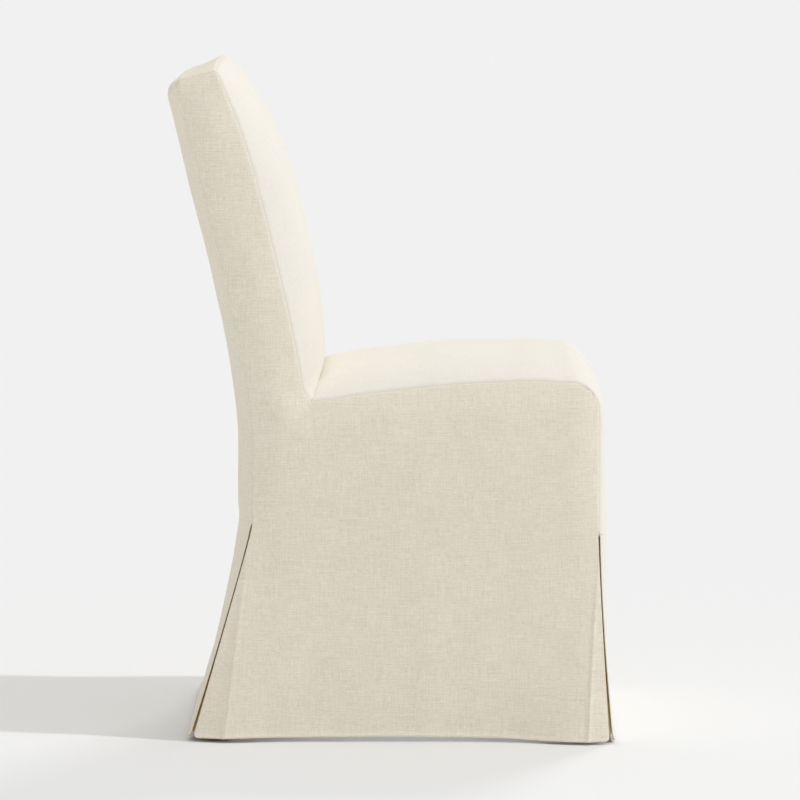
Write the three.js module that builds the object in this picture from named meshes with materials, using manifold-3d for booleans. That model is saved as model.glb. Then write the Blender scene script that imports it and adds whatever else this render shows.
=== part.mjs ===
// A parsons dining chair in a loose floor-length slipcover with corner kick pleats.
// Millimetres, +Z up, the sitter looks along -Y, +X is the sitter's left. The floor is z = 0.

import * as THREE from 'three';
import { mergeVertices } from 'three/addons/utils/BufferGeometryUtils.js';
import Module from 'manifold-3d';

const wasm = await Module();
wasm.setup();

// Outline of the slipcover, seam to seam

const cover_width = 500;
const seat_front_reach = 300;
const back_line = 204.2;
const back_depth = 85;
const seat_front_height = 523.7;
const seat_fall = 27.7;
const seat_fall_start = 225;
const seat_front_radius = 45;
const back_height = 970;
const back_lean_share = 0.264;
const back_bend_height = 430;
const back_bend_length = 128;
const back_thinning = 18;
const back_thinning_length = 170;
const top_corner_radius = 12;
const crevice_dip = 9;
const crevice_rise = 12;

// Crowns of the upholstery

const seat_crown = 28;
const front_crown = 15;
const inside_back_crown = 39;
const crevice_crown = 25;
const back_crown_rise = 150;
const back_crown_roll = 90;
const top_crown = 5;
const outside_back_crown = 22;
const outside_top_crown = 10;
const outside_crown_height = 700;

// Skirt

const hem_clearance = 4;
const skirt_slit_height = 312;
const leg_rake_share = 0.285;
const leg_bend_length = 20;
const side_front_flare = 11.5;
const front_flare = 19;
const front_edge_flare = 10;
const back_flare = 7;
const front_pleat_kick = 30;
const front_pleat_turn = 8;
const front_pleat_setback = 30;
const front_pleat_spread = 85;
const rear_pleat_kick = 10;
const rear_pleat_turn = 16;
const rear_pleat_setback = 44;
const rear_pleat_spread = 60;
const underlay_reach = 95;
const underlay_overlap = 34;
const underlay_hem_lift = 8;

// Sheet materials

const cover_thickness = 2;
const underlay_thickness = 1.5;
const batting_thickness = 10;
const felt_thickness = 3;
const dust_cover_thickness = 0.8;
const strap_thickness = 2.5;

// Wooden frame

const rail_top = 430;
const rail_height = 75;
const rail_thickness = 22;
const rail_setback = 1;
const leg_size = 42;
const leg_foot_size = 34;
const post_width = 32;
const post_depth = 45;
const post_top_depth = 32;
const post_foot_depth = 38;
const tenon_length = 25;
const post_tenon_length = 20;
const tenon_thickness = 10;
const tenon_shoulder = 10;
const crest_height = 70;
const cap_padding = 22;
const lower_rail_height = 50;
const lower_rail_centre = 570;
const corner_block_leg = 45;
const corner_block_height = 45;
const corner_block_drop = 14;
const batting_drop = 5;

// Fasteners, glides, springs and webbing

const screw_radius = 2;
const screw_length = 28;
const screw_head_radius = 4;
const screw_head_height = 2.6;
const screw_bore_radius = 5.2;
const screw_grip = 13;
const glide_radius = 11;
const glide_height = 5;
const glide_edge = 1.2;
const glide_nail_radius = 1.3;
const glide_nail_length = 16;
const wire_radius = 1.7;
const spring_half_width = 25;
const spring_pitch = 33;
const spring_arch = 8;
const spring_clearance = 12.4;
const clip_width = 16;
const clip_thickness = 1.2;
const clip_leaf = 9;
const strap_width = 50;
const strap_end_inset = 4;
const strap_heights = [640, 735, 830];

// Fits

const gap = 0.3;
const skirt_slack = 1.2;
const overrun = 5;
const notch_clearance = 1;
const merge_distance = 1e-4;

// Numbers of steps, sides and rounds of settling a line on two curves

const settle_rounds = 8;
const back_steps = 10;
const leg_steps = 4;
const round_sides = 12;
const screw_sides = 10;
const wire_sides = 5;
const curl_steps = 8;
const deck_fade = 26;

// Finishes

const linen = new THREE.MeshStandardMaterial({ name: 'linen', color: '#ebe4d0', roughness: 0.95 });
const lining = new THREE.MeshStandardMaterial({ name: 'lining', color: '#ded6c2', roughness: 0.95 });
const foam = new THREE.MeshStandardMaterial({ name: 'foam', color: '#efe9c8', roughness: 0.9 });
const batting = new THREE.MeshStandardMaterial({ name: 'batting', color: '#f4f3ef', roughness: 1 });
const beech = new THREE.MeshStandardMaterial({ name: 'beech', color: '#c9a67a', roughness: 0.6 });
const steel = new THREE.MeshStandardMaterial({
  name: 'steel', color: '#9a9a9a', roughness: 0.4, metalness: 1,
});
const nylon = new THREE.MeshStandardMaterial({ name: 'nylon', color: '#3a3632', roughness: 0.5 });
const felt = new THREE.MeshStandardMaterial({ name: 'felt', color: '#8f8a80', roughness: 1 });
const cambric = new THREE.MeshStandardMaterial({ name: 'cambric', color: '#2b2b2b', roughness: 1 });
const webbing = new THREE.MeshStandardMaterial({ name: 'webbing', color: '#4b4339', roughness: 0.9 });

// Widths and levels that follow from the sizes above

const half_width = cover_width / 2;
const panel_half = half_width - cover_thickness - gap;
const frame_half = panel_half - batting_thickness - gap;
const leg_inner = frame_half - leg_size;
const post_inner = frame_half - post_width;
const rail_bottom = rail_top - rail_height;
const batting_bottom = rail_bottom - batting_drop;
const frame_front = -seat_front_reach + cover_thickness + gap + batting_thickness + gap;
const leg_rear = frame_front + leg_size;
const frame_inset = cover_thickness + gap + batting_thickness + gap;

const mix = (a, b, share) => a + (b - a) * share;
const clamp = (value) => Math.min(1, Math.max(0, value));
const bend = (rise, length, slope) => (rise > 0 ? slope * (Math.hypot(rise, length) - length) : 0);
const steps = (count) => Array.from({ length: count + 1 }, (_, i) => i / count);
const square_crown = (share) => 1 - share ** 4;

// Side outline: seams as y for a height, and heights for a depth

const skirt_fall = (z) => clamp((skirt_slit_height - z) / (skirt_slit_height - hem_clearance));

function rear_seam(z) {
  const leaning = bend(z - back_bend_height, back_bend_length, back_lean_share);
  return back_line + leaning + bend(skirt_slit_height - z, leg_bend_length, leg_rake_share);
}

function back_front_seam(z) {
  const thinning = clamp((z - back_height + back_thinning_length) / back_thinning_length) ** 2;
  return rear_seam(z) - back_depth + back_thinning * thinning;
}

const side_front_edge = (z) => -seat_front_reach - side_front_flare * skirt_fall(z) ** 1.3;
const front_edge = (z) => -seat_front_reach - front_flare * skirt_fall(z) ** 1.6;
const back_edge = (z) => rear_seam(z) + back_flare * skirt_fall(z) ** 2;
const crevice_height = seat_front_height - seat_fall;
const crevice_y = back_front_seam(crevice_height) - crevice_dip;

function seat_seam(y) {
  const share = clamp((y + seat_fall_start) / (crevice_y + seat_fall_start));
  return seat_front_height - seat_fall * share ** 1.5;
}

// The top of the back is square to its lean and has a small round rear corner

const top_front_y = back_front_seam(back_height);
const top_slope = back_lean_share * (back_height - back_bend_height)
  / Math.hypot(back_height - back_bend_height, back_bend_length);
const cap_height = (y) => back_height - top_slope * (y - top_front_y);
const lean_angle = Math.atan(top_slope);
const along_cap = new THREE.Vector2(Math.cos(lean_angle), -Math.sin(lean_angle));
const up_cap = new THREE.Vector2(Math.sin(lean_angle), Math.cos(lean_angle));

function cap_corner() {
  let z = back_height;
  for (let i = 0; i < settle_rounds; i += 1) {
    z = cap_height(rear_seam(z));
  }
  return new THREE.Vector2(rear_seam(z), z);
}

const corner = cap_corner();
const corner_centre = corner.clone()
  .addScaledVector(along_cap, -top_corner_radius)
  .addScaledVector(up_cap, -top_corner_radius);

function corner_arc(share) {
  const turn = share * Math.PI / 2;
  return corner_centre.clone()
    .addScaledVector(up_cap, top_corner_radius * Math.cos(turn))
    .addScaledVector(along_cap, top_corner_radius * Math.sin(turn));
}

const back_top_level = corner_arc(1).y;
const back_levels = steps(back_steps).map((share) => mix(back_top_level, back_bend_height, share));

// Solids between an outer and an inner grid of points

function signed_volume(points, triangles) {
  const normal = new THREE.Vector3();
  let sum = 0;
  for (const [a, b, c] of triangles) {
    sum += normal.crossVectors(points[a], points[b]).dot(points[c]);
  }
  return sum;
}

function to_geometry(points, triangles) {
  const outward = signed_volume(points, triangles) > 0;
  const index = triangles.flatMap(([a, b, c]) => (outward ? [a, b, c] : [a, c, b]));
  const geometry = new THREE.BufferGeometry();
  geometry.setAttribute('position', new THREE.Float32BufferAttribute(points.flatMap((p) => p.toArray()), 3));
  geometry.setIndex(index);
  geometry.computeVertexNormals();
  return geometry;
}

// Patches share the points in which they meet, and the free edges get side walls
function shell(patches) {
  const points = [];
  const pairs = new Map();
  const place = (outer, inner) => {
    const key = outer.toArray().map((value) => value.toFixed(3)).join(' ');
    if (!pairs.has(key)) {
      pairs.set(key, points.length);
      points.push(outer, inner);
    }
    return pairs.get(key);
  };
  const faces = [];
  for (const { outer, inner } of patches) {
    const index = outer.map((row, i) => row.map((point, j) => place(point, inner[i][j])));
    for (let i = 0; i + 1 < index.length; i += 1) {
      for (let j = 0; j + 1 < index[i].length; j += 1) {
        const [a, b, c, d] = [index[i][j], index[i][j + 1], index[i + 1][j + 1], index[i + 1][j]];
        faces.push([a, b, c], [a, c, d]);
      }
    }
  }
  const triangles = faces.flatMap(([a, b, c]) => [[a, b, c], [a + 1, c + 1, b + 1]]);
  const edges = new Set(faces.flatMap(([a, b, c]) => [`${a} ${b}`, `${b} ${c}`, `${c} ${a}`]));
  for (const edge of edges) {
    const [a, b] = edge.split(' ').map(Number);
    if (!edges.has(`${b} ${a}`)) {
      triangles.push([b, a, a + 1], [b, a + 1, b + 1]);
    }
  }
  return to_geometry(points, triangles);
}

// A copy of a grid moved along its own normals, to the side that the given direction points away from
function sunk(grid, depth, outward) {
  const span = new THREE.Vector3();
  return grid.map((row, i) => row.map((point, j) => {
    const above = grid[Math.max(i - 1, 0)][j];
    const below = grid[Math.min(i + 1, grid.length - 1)][j];
    const before = row[Math.max(j - 1, 0)];
    const after = row[Math.min(j + 1, row.length - 1)];
    const normal = new THREE.Vector3().subVectors(below, above);
    normal.cross(span.subVectors(after, before)).normalize();
    const side = Math.sign(normal.dot(outward[i])) || 1;
    return point.clone().addScaledVector(normal, -side * depth);
  }));
}

const inner_columns = (grid) => grid.map((row) => row.slice(1, -1));
const both_sides = (values) => [...values.slice().reverse().map((value) => -value), ...values.slice(1)];

// Column places across the width: the last but one is the edge of the foam, the last the edge of the cloth
const foam_shares = [0, 0.35, 0.6, 0.83, 0.93, 1];
const columns = both_sides([...foam_shares.map((share) => share * frame_half), panel_half]);
const crown_at = (x) => square_crown(x / half_width);

// Slipcover surfaces

function inside_crown(z, foot) {
  const rise = clamp((z - foot) / back_crown_rise);
  const roll = clamp((z - back_height + back_crown_roll) / back_crown_roll);
  return mix(crevice_crown, inside_back_crown, Math.sin(rise * Math.PI / 2)) * Math.sqrt(1 - roll ** 2);
}

// The seam line in which the crowned seat meets the crowned back
function crevice(x) {
  let y = crevice_y;
  let z = crevice_height;
  for (let i = 0; i < settle_rounds; i += 1) {
    z = seat_seam(y) + seat_crown * crown_at(x);
    y = back_front_seam(z) - crevice_dip - crevice_crown * crown_at(x);
  }
  return { y, z };
}

const seat_shares = [0, 0.14, 0.3, 0.48, 0.66, 0.84, 1];
const front_shares = [0, 0.16, 0.5, 1];
const skirt_shares = [0, 0.27, 0.5, 0.73, 0.885, 1];
const skirt_levels = skirt_shares.map((share) => mix(skirt_slit_height, hem_clearance, share));
const seat_arc_centre = seat_front_height - seat_front_radius;
const deck_front_height = rail_top + clip_thickness + 4 * wire_radius;

function front_panel_y(x, z) {
  const crown = front_crown * (1 - skirt_fall(z)) * crown_at(x);
  return front_edge(z) - crown;
}

// The rear panel narrows at the pleats as far as the side panels turn in
const rear_turn_in = rear_pleat_turn - rear_pleat_kick;
const rear_panel_x = (x, z) => x * (1 - rear_turn_in * skirt_fall(z) ** 1.5 / panel_half);
const front_panel_x = (x, z) => x * (1 + front_edge_flare * skirt_fall(z) ** 1.5 / panel_half);

function seat_front_grid() {
  const grid = [];
  const outward = [];
  const add = (row, y, z) => {
    grid.push(row);
    outward.push(new THREE.Vector3(0, y, z));
  };
  const front_y = -seat_front_reach + seat_front_radius;
  for (const share of seat_shares) {
    add(columns.map((x) => {
      const y = mix(crevice(x).y - gap, front_y, share);
      return new THREE.Vector3(x, y, seat_seam(y) + seat_crown * crown_at(x));
    }), 0, 1);
  }
  for (const share of [0.25, 0.5, 0.75]) {
    const turn = share * Math.PI / 2;
    const crown = mix(seat_crown, front_crown, share);
    add(columns.map((x) => {
      const reach = seat_front_radius + crown * crown_at(x);
      return new THREE.Vector3(x, front_y - reach * Math.sin(turn), seat_arc_centre + reach * Math.cos(turn));
    }), -Math.sin(turn), Math.cos(turn));
  }
  const straight = front_shares.map((share) => mix(seat_arc_centre, deck_front_height, share));
  const apron = front_shares.slice(1).map((share) => mix(deck_front_height, batting_bottom, share));
  for (const z of [straight[0], straight[straight.length - 1], ...apron.slice(1), ...skirt_levels]) {
    add(columns.map((x) => new THREE.Vector3(front_panel_x(x, z), front_panel_y(x, z), z)), -1, 0);
  }
  return { grid, outward };
}

const seat_front = seat_front_grid();
const deck_front_row = seat_shares.length + 4;
const batting_end_row = deck_front_row + 2;

function back_face(z, foot) {
  const tucked = 1 - clamp((z - foot) / crevice_rise);
  return back_front_seam(z) - crevice_dip * tucked;
}

const inside_back_shares = [0, 0.025, 0.12, 0.25, 0.4, 0.56, 0.72, 0.84, 0.92, 0.97, 1];

function inside_back_grid() {
  return inside_back_shares.map((share) => columns.map((x) => {
    const foot = crevice(x).z;
    const z = mix(foot, back_height + top_crown * crown_at(x), share);
    return new THREE.Vector3(x, back_face(z, foot) - inside_crown(z, foot) * crown_at(x), z);
  }));
}

function outside_crown(z) {
  const rise = clamp((z - outside_crown_height) / (back_height - outside_crown_height));
  return mix(outside_back_crown, outside_top_crown, rise) * (1 - skirt_fall(z));
}

const rear_panel_y = (x, z) => back_edge(z) + outside_crown(z) * crown_at(x);
const post_rear = (z) => rear_seam(z) - frame_inset;

function post_front(z) {
  const up = clamp((z - rail_top) / (back_height - rail_top));
  const down = clamp((rail_bottom - z) / rail_bottom);
  return post_rear(z) - post_depth + (post_depth - post_top_depth) * up
    + (post_depth - post_foot_depth) * down;
}

// The point where a face of the rear post meets the line under the top pad
function under_cap(face) {
  let z = back_height;
  for (let i = 0; i < settle_rounds; i += 1) {
    z = cap_height(face(z)) - cap_padding;
  }
  return new THREE.Vector2(face(z), z);
}

const post_top_front = under_cap(post_front);
const post_top_rear = under_cap(post_rear);

function outside_back_grid() {
  const grid = [];
  const outward = [];
  const add = (row, normal) => {
    grid.push(row);
    outward.push(new THREE.Vector3(0, normal.x, normal.y));
  };
  const cap_start = top_front_y + cover_thickness + 2 * gap;
  const cap_end = corner_arc(0).x;
  const pad_start = post_front(back_height);
  for (const y of [cap_start, pad_start, mix(pad_start, cap_end, 0.5)]) {
    add(columns.map((x) => new THREE.Vector3(x, y, cap_height(y) + top_crown * crown_at(x))), up_cap);
  }
  for (const share of [0, 0.33, 0.67, 1]) {
    const normal = corner_arc(share).sub(corner_centre).divideScalar(top_corner_radius);
    const crown = mix(top_crown, outside_top_crown, share);
    add(columns.map((x) => {
      const point = corner_arc(share).addScaledVector(normal, crown * crown_at(x));
      return new THREE.Vector3(x, point.x, point.y);
    }), normal);
  }
  for (const z of [...back_levels.slice(1), batting_bottom, ...skirt_levels]) {
    add(columns.map((x) => new THREE.Vector3(rear_panel_x(x, z), rear_panel_y(x, z), z)), along_cap);
  }
  return { grid, outward };
}

const cap_rows = 4;
const inside_back = inside_back_grid();
const inside_outward = inside_back.map(() => new THREE.Vector3(0, -1, 0));
const outside_back = outside_back_grid();
const back_batting_start = cap_rows + 2;
const back_batting_end = back_batting_start + back_levels.length + 1;

// How far a side panel stands off its plane at a kick pleat, a distance away from the slit
function pleat(distance, kick, turn, setback, spread) {
  if (distance < setback) {
    return kick - turn * (1 - distance / setback);
  }
  return kick * Math.exp(-(((distance - setback) / spread) ** 2));
}

function side_panel_x(y, z) {
  const fall = skirt_fall(z);
  const front = Math.max(0, y - side_front_edge(z));
  const rear = Math.max(0, rear_seam(z) - y);
  const front_setback = front_pleat_setback * fall;
  const rear_setback = rear_pleat_setback * fall;
  const stand_off = pleat(front, front_pleat_kick, front_pleat_turn, front_setback, front_pleat_spread)
    + pleat(rear, rear_pleat_kick, rear_pleat_turn, rear_setback, rear_pleat_spread);
  return half_width + stand_off * fall ** 1.5;
}

// Side panel: one L-shaped cloth in three patches that share their edges

const corner_row_share = 0.8;
const side_row_shares = [
  ...skirt_levels.slice().reverse().map(
    (z) => corner_row_share * (z - hem_clearance) / (seat_arc_centre - hem_clearance),
  ),
  0.66,
  corner_row_share,
  0.9,
  1,
];
const side_column_shares = [0, 0.035, 0.07, 0.13, 0.2, 0.3, 0.45, 0.65, 0.85, 1];
const corner_column_share = 0.07;
const rear_column_shares = [0, 0.3, 0.55, 0.75, 0.88, 1];
const upright_row_shares = [0, 0.025, 0.12, 0.22, 0.32, 0.43, 0.54, 0.65, 0.76, 0.86, 0.94, 1];
const seat_arc_y = -seat_front_reach + seat_front_radius;

function seat_corner(share) {
  const turn = share * Math.PI / 2;
  const y = seat_arc_y - seat_front_radius * Math.cos(turn);
  return new THREE.Vector2(y, seat_arc_centre + seat_front_radius * Math.sin(turn));
}

function side_front_line(share) {
  if (share > corner_row_share) {
    return seat_corner(0.5 * (share - corner_row_share) / (1 - corner_row_share));
  }
  const z = mix(hem_clearance, seat_arc_centre, share / corner_row_share);
  return new THREE.Vector2(side_front_edge(z), z);
}

function side_top_line(share) {
  if (share < corner_column_share) {
    return seat_corner(0.5 + 0.5 * share / corner_column_share);
  }
  const y = mix(seat_arc_y, crevice_y, (share - corner_column_share) / (1 - corner_column_share));
  return new THREE.Vector2(y, seat_seam(y));
}

const crevice_line = (share) => new THREE.Vector2(crevice_y, mix(hem_clearance, crevice_height, share));
const side_hem_line = (share) => new THREE.Vector2(
  mix(side_front_edge(hem_clearance), crevice_y, share),
  hem_clearance,
);

// A point of the seat side between its four border lines
function seat_side(u, v) {
  const ruled = side_front_line(v).lerp(crevice_line(v), u);
  const lofted = side_hem_line(u).lerp(side_top_line(u), v);
  const lower = side_hem_line(0).lerp(side_hem_line(1), u);
  const upper = side_top_line(0).lerp(side_top_line(1), u);
  return ruled.add(lofted).sub(lower.lerp(upper, v));
}

function rear_side(u, v) {
  const { y: z } = crevice_line(v);
  return new THREE.Vector2(mix(crevice_y, rear_seam(z), u), z);
}

function upright_side(u, v) {
  if (v === 1 && u === 1) {
    return corner_arc(0.5);
  }
  const front_z = mix(crevice_height, back_height, v);
  const rear_z = mix(crevice_height, corner_arc(0.5).y, v);
  const front = new THREE.Vector2(back_face(front_z, crevice_height), front_z);
  const point = front.lerp(new THREE.Vector2(rear_seam(rear_z), rear_z), u);
  return v === 1 ? new THREE.Vector2(point.x, cap_height(point.x)) : point;
}

function side_patch(face, rows, cols) {
  const outer = rows.map((v) => cols.map((u) => {
    const { x: y, y: z } = face(u, v);
    return new THREE.Vector3(side_panel_x(y, z), y, z);
  }));
  const inward = new THREE.Vector3(-cover_thickness, 0, 0);
  return { outer, inner: outer.map((row) => row.map((point) => point.clone().add(inward))) };
}

// Kick pleat underlays hang behind the panels round each corner, and are sewn in just above the slit

const underlay_shares = [1, 0.66, 0.33, 0.05];
const underlay_levels = [
  skirt_slit_height + underlay_overlap,
  ...skirt_levels.slice(0, -1),
  hem_clearance + underlay_hem_lift,
];
const underlay_columns = columns.slice(-5, -1).reverse();

function underlay(side_edge, panel_x, panel_y, inward) {
  const layer = (depth) => underlay_levels.map((z) => {
    const slack = z > skirt_slit_height ? 2 * gap : skirt_slack;
    const inset = cover_thickness + slack + depth;
    const along_side = underlay_shares.map((share) => {
      const y = side_edge(z) + inward * underlay_reach * share;
      return new THREE.Vector3(Math.min(half_width, side_panel_x(y, z)) - inset, y, z);
    });
    const edge_x = Math.min(half_width, panel_x(panel_half, z)) - inset;
    const edge = new THREE.Vector3(edge_x, panel_y(panel_half, z) + inward * inset, z);
    const along_panel = underlay_columns.map(
      (x) => new THREE.Vector3(panel_x(x, z), panel_y(x, z) + inward * inset, z),
    );
    return [...along_side, edge, ...along_panel];
  });
  return shell([{ outer: layer(0), inner: layer(underlay_thickness) }]);
}

// Closed meshes to solids and back, for cuts and joins

function to_solid(geometry) {
  const bare = geometry.clone();
  bare.deleteAttribute('normal');
  bare.deleteAttribute('uv');
  const merged = mergeVertices(bare, merge_distance);
  return new wasm.Manifold(new wasm.Mesh({
    numProp: 3,
    vertProperties: new Float32Array(merged.attributes.position.array),
    triVerts: new Uint32Array(merged.index.array),
  }));
}

function from_solid(solid) {
  const { vertProperties, triVerts } = solid.getMesh();
  const geometry = new THREE.BufferGeometry();
  geometry.setAttribute('position', new THREE.BufferAttribute(new Float32Array(vertProperties), 3));
  geometry.setIndex(new THREE.BufferAttribute(new Uint32Array(triVerts), 1));
  geometry.computeVertexNormals();
  return geometry;
}

function mirrored(geometry) {
  const copy = geometry.clone().scale(-1, 1, 1);
  const index = copy.index.array;
  for (let i = 0; i < index.length; i += 3) {
    [index[i + 1], index[i + 2]] = [index[i + 2], index[i + 1]];
  }
  copy.computeVertexNormals();
  return copy;
}

const chair = new THREE.Group();
chair.name = 'parsons_chair';

function add(name, geometry, material) {
  const mesh = new THREE.Mesh(geometry, material);
  mesh.name = name;
  chair.add(mesh);
  return mesh;
}

function add_pair(name, geometry, material) {
  add(`${name}_left`, geometry, material);
  add(`${name}_right`, mirrored(geometry), material);
}

// Box with its lower and upper corner given
function block(x0, x1, y0, y1, z0, z1) {
  const geometry = new THREE.BoxGeometry(x1 - x0, y1 - y0, z1 - z0);
  return to_solid(geometry.translate((x0 + x1) / 2, (y0 + y1) / 2, (z0 + z1) / 2));
}

// Plate with a side outline of (y, z) points, from x0 to x1
function side_plate(points, x0, x1) {
  const plate = new THREE.ExtrudeGeometry(new THREE.Shape(points), { depth: x1 - x0, bevelEnabled: false });
  const turn = new THREE.Matrix4().makeBasis(
    new THREE.Vector3(0, 1, 0),
    new THREE.Vector3(0, 0, 1),
    new THREE.Vector3(1, 0, 0),
  );
  return plate.applyMatrix4(turn).translate(x0, 0, 0);
}

// Rails with a tongue at each end, and the slot that such a tongue needs
function tenoned_rail(length, height, tongue, place) {
  const cut = (extra) => to_solid(new THREE.BoxGeometry(
    length + 2 * tongue + 2 * extra,
    tenon_thickness + 2 * extra,
    height - 2 * tenon_shoulder + 2 * extra,
  ).applyMatrix4(place));
  const body = to_solid(new THREE.BoxGeometry(length, rail_thickness, height).applyMatrix4(place));
  return { rail: body.add(cut(0)), slot: cut(gap) };
}

function placing(x, y, z, tilt, turn) {
  const place = new THREE.Matrix4().makeTranslation(x, y, z);
  place.multiply(new THREE.Matrix4().makeRotationX(-tilt));
  return place.multiply(new THREE.Matrix4().makeRotationZ(turn));
}

const rail_middle = rail_top - rail_height / 2;
const rear_rail_y = post_rear(rail_top) - rail_setback - rail_thickness / 2;
const front_rail_y = frame_front + rail_setback + rail_thickness / 2;
const side_rail_x = frame_half - rail_setback - rail_thickness / 2;
const side_rail_front = leg_rear + gap;
const side_rail_rear = post_front(rail_top) - gap;

const front_rail = tenoned_rail(
  2 * (leg_inner - gap), rail_height, tenon_length,
  placing(0, front_rail_y, rail_middle, 0, 0),
);
const rear_rail = tenoned_rail(
  2 * (post_inner - gap), rail_height, post_tenon_length,
  placing(0, rear_rail_y, rail_middle, 0, 0),
);
const side_rail = tenoned_rail(
  side_rail_rear - side_rail_front, rail_height, tenon_length,
  placing(side_rail_x, (side_rail_front + side_rail_rear) / 2, rail_middle, 0, Math.PI / 2),
);

const lower_tilt = Math.atan2(
  rear_seam(lower_rail_centre + lower_rail_height / 2) - rear_seam(lower_rail_centre - lower_rail_height / 2),
  lower_rail_height,
);
const lower_inset = (rail_setback + rail_thickness / 2) / Math.cos(lower_tilt);
const lower_back_y = post_rear(lower_rail_centre) - lower_inset;
const lower_back_rail = tenoned_rail(
  2 * (post_inner - gap), lower_rail_height, post_tenon_length,
  placing(0, lower_back_y, lower_rail_centre, lower_tilt, 0),
);

const crest_middle = post_top_rear.clone()
  .addScaledVector(along_cap, -(rail_setback + rail_thickness / 2))
  .addScaledVector(up_cap, -(crest_height / 2 + gap));
const crest_rail = tenoned_rail(
  2 * (post_inner - gap), crest_height, post_tenon_length,
  placing(0, crest_middle.x, crest_middle.y, lean_angle, 0),
);

// Glides: a domed button with a nail up into the leg

const foot_level = glide_height + gap;
const front_foot_x = frame_half - leg_foot_size / 2;
const front_foot_y = frame_front + leg_foot_size / 2;
const rear_foot_x = frame_half - post_width / 2;
const rear_foot_y = (post_rear(foot_level) + post_front(foot_level)) / 2;

function turned(profile, segments) {
  const points = profile.map(([radius, z]) => new THREE.Vector2(radius, z));
  return new THREE.LatheGeometry(points, segments).rotateX(Math.PI / 2);
}

const glide = turned([
  [0, 0],
  [glide_radius - glide_edge, 0],
  [glide_radius, glide_edge],
  [glide_radius, glide_height - glide_edge],
  [glide_radius - glide_edge, glide_height],
  [glide_nail_radius, glide_height],
  [glide_nail_radius, glide_height + glide_nail_length - glide_nail_radius],
  [0, glide_height + glide_nail_length],
], round_sides);

function nail_hole(x, y) {
  const depth = glide_nail_length + overrun;
  const radius = glide_nail_radius + gap;
  const hole = turned([[0, -depth], [radius, -depth], [radius, depth], [0, depth]], round_sides);
  return to_solid(hole.translate(x, y, glide_height + gap));
}

// Legs

function front_leg() {
  const height = rail_top - foot_level;
  const middle = foot_level + height / 2;
  const leg = new THREE.BoxGeometry(leg_size, leg_size, height, 1, 1, 2);
  const place = leg.attributes.position;
  const taper = leg_size - leg_foot_size;
  for (let i = 0; i < place.count; i += 1) {
    const level = Math.sign(Math.round(place.getZ(i)));
    if (level === 0) {
      place.setZ(i, rail_bottom - middle);
    }
    if (level < 0 && place.getX(i) < 0) {
      place.setX(i, place.getX(i) + taper);
    }
    if (level < 0 && place.getY(i) > 0) {
      place.setY(i, place.getY(i) - taper);
    }
  }
  return to_solid(leg.translate(frame_half - leg_size / 2, frame_front + leg_size / 2, middle));
}

function rear_post() {
  const skirt = steps(leg_steps).map((share) => mix(foot_level, skirt_slit_height, share));
  const levels = [...skirt, batting_bottom, ...back_levels.slice(1)].sort((a, b) => a - b);
  const rear = levels.map((z) => new THREE.Vector2(post_rear(z), z));
  const front = levels.map((z) => new THREE.Vector2(post_front(z), z));
  const outline = [...rear, post_top_rear, post_top_front, ...front.reverse()];
  return to_solid(side_plate(outline, post_inner, frame_half));
}

add_pair('front_leg', from_solid(
  front_leg()
    .subtract(front_rail.slot)
    .subtract(side_rail.slot)
    .subtract(nail_hole(front_foot_x, front_foot_y)),
), beech);
add_pair('rear_post', from_solid(
  [rear_rail, side_rail, lower_back_rail, crest_rail]
    .reduce((post, { slot }) => post.subtract(slot), rear_post())
    .subtract(nail_hole(rear_foot_x, rear_foot_y)),
), beech);
add_pair('front_glide', glide.clone().translate(front_foot_x, front_foot_y, 0), nylon);
add_pair('rear_glide', glide.clone().translate(rear_foot_x, rear_foot_y, 0), nylon);

// Corner blocks fit round the leg or post, and two screws pull each one to its rails

const block_top = rail_top - corner_block_drop;
const block_bottom = block_top - corner_block_height;
const block_middle = (block_top + block_bottom) / 2;
const side_rail_inner = side_rail_x - rail_thickness / 2 - gap;

function screw_profile(bore) {
  const shank = screw_radius + bore;
  const top = bore > 0 ? screw_length : 0;
  const head = screw_head_radius + (bore > 0 ? screw_bore_radius - screw_head_radius : 0);
  return turned([
    [0, -screw_length - bore],
    [shank, -screw_length - bore + screw_radius],
    [shank, 0],
    [head, 0],
    [head, screw_head_height + top],
    [0, screw_head_height + top],
  ], screw_sides);
}

// The z axis of a screw turned to point along a direction in the plane
function aim(geometry, x, y, direction) {
  const axis = new THREE.Vector3(direction[0], direction[1], 0);
  const turn = new THREE.Quaternion().setFromUnitVectors(new THREE.Vector3(0, 0, 1), axis);
  return geometry.applyQuaternion(turn).translate(x, y, block_middle);
}

function corner_block(rail_face, leg_x, leg_y, inward) {
  const points = [
    [leg_x, rail_face],
    [leg_x - corner_block_leg, rail_face],
    [side_rail_inner, leg_y + inward * corner_block_leg],
    [side_rail_inner, leg_y],
    [leg_x, leg_y],
  ].map(([x, y]) => new THREE.Vector2(x, y));
  const plan = new THREE.ExtrudeGeometry(
    new THREE.Shape(points),
    { depth: corner_block_height, bevelEnabled: false },
  );
  const to_rail = (bore) => aim(
    screw_profile(bore), leg_x - corner_block_leg / 2, rail_face + inward * screw_grip, [0, inward],
  );
  const to_side = (bore) => aim(
    screw_profile(bore), side_rail_inner - screw_grip, leg_y + inward * corner_block_leg / 2, [-1, 0],
  );
  const bores = [to_solid(to_rail(gap)), to_solid(to_side(gap))];
  const solid = bores.reduce(
    (rest, bore) => rest.subtract(bore),
    to_solid(plan.translate(0, 0, block_bottom)),
  );
  return { solid, bores, screws: [to_rail(0), to_side(0)] };
}

const front_block = corner_block(
  front_rail_y + rail_thickness / 2 + gap, leg_inner - gap, leg_rear + gap, 1,
);
const rear_block = corner_block(
  rear_rail_y - rail_thickness / 2 - gap, post_inner - gap, post_front(rail_top) - gap, -1,
);

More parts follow.
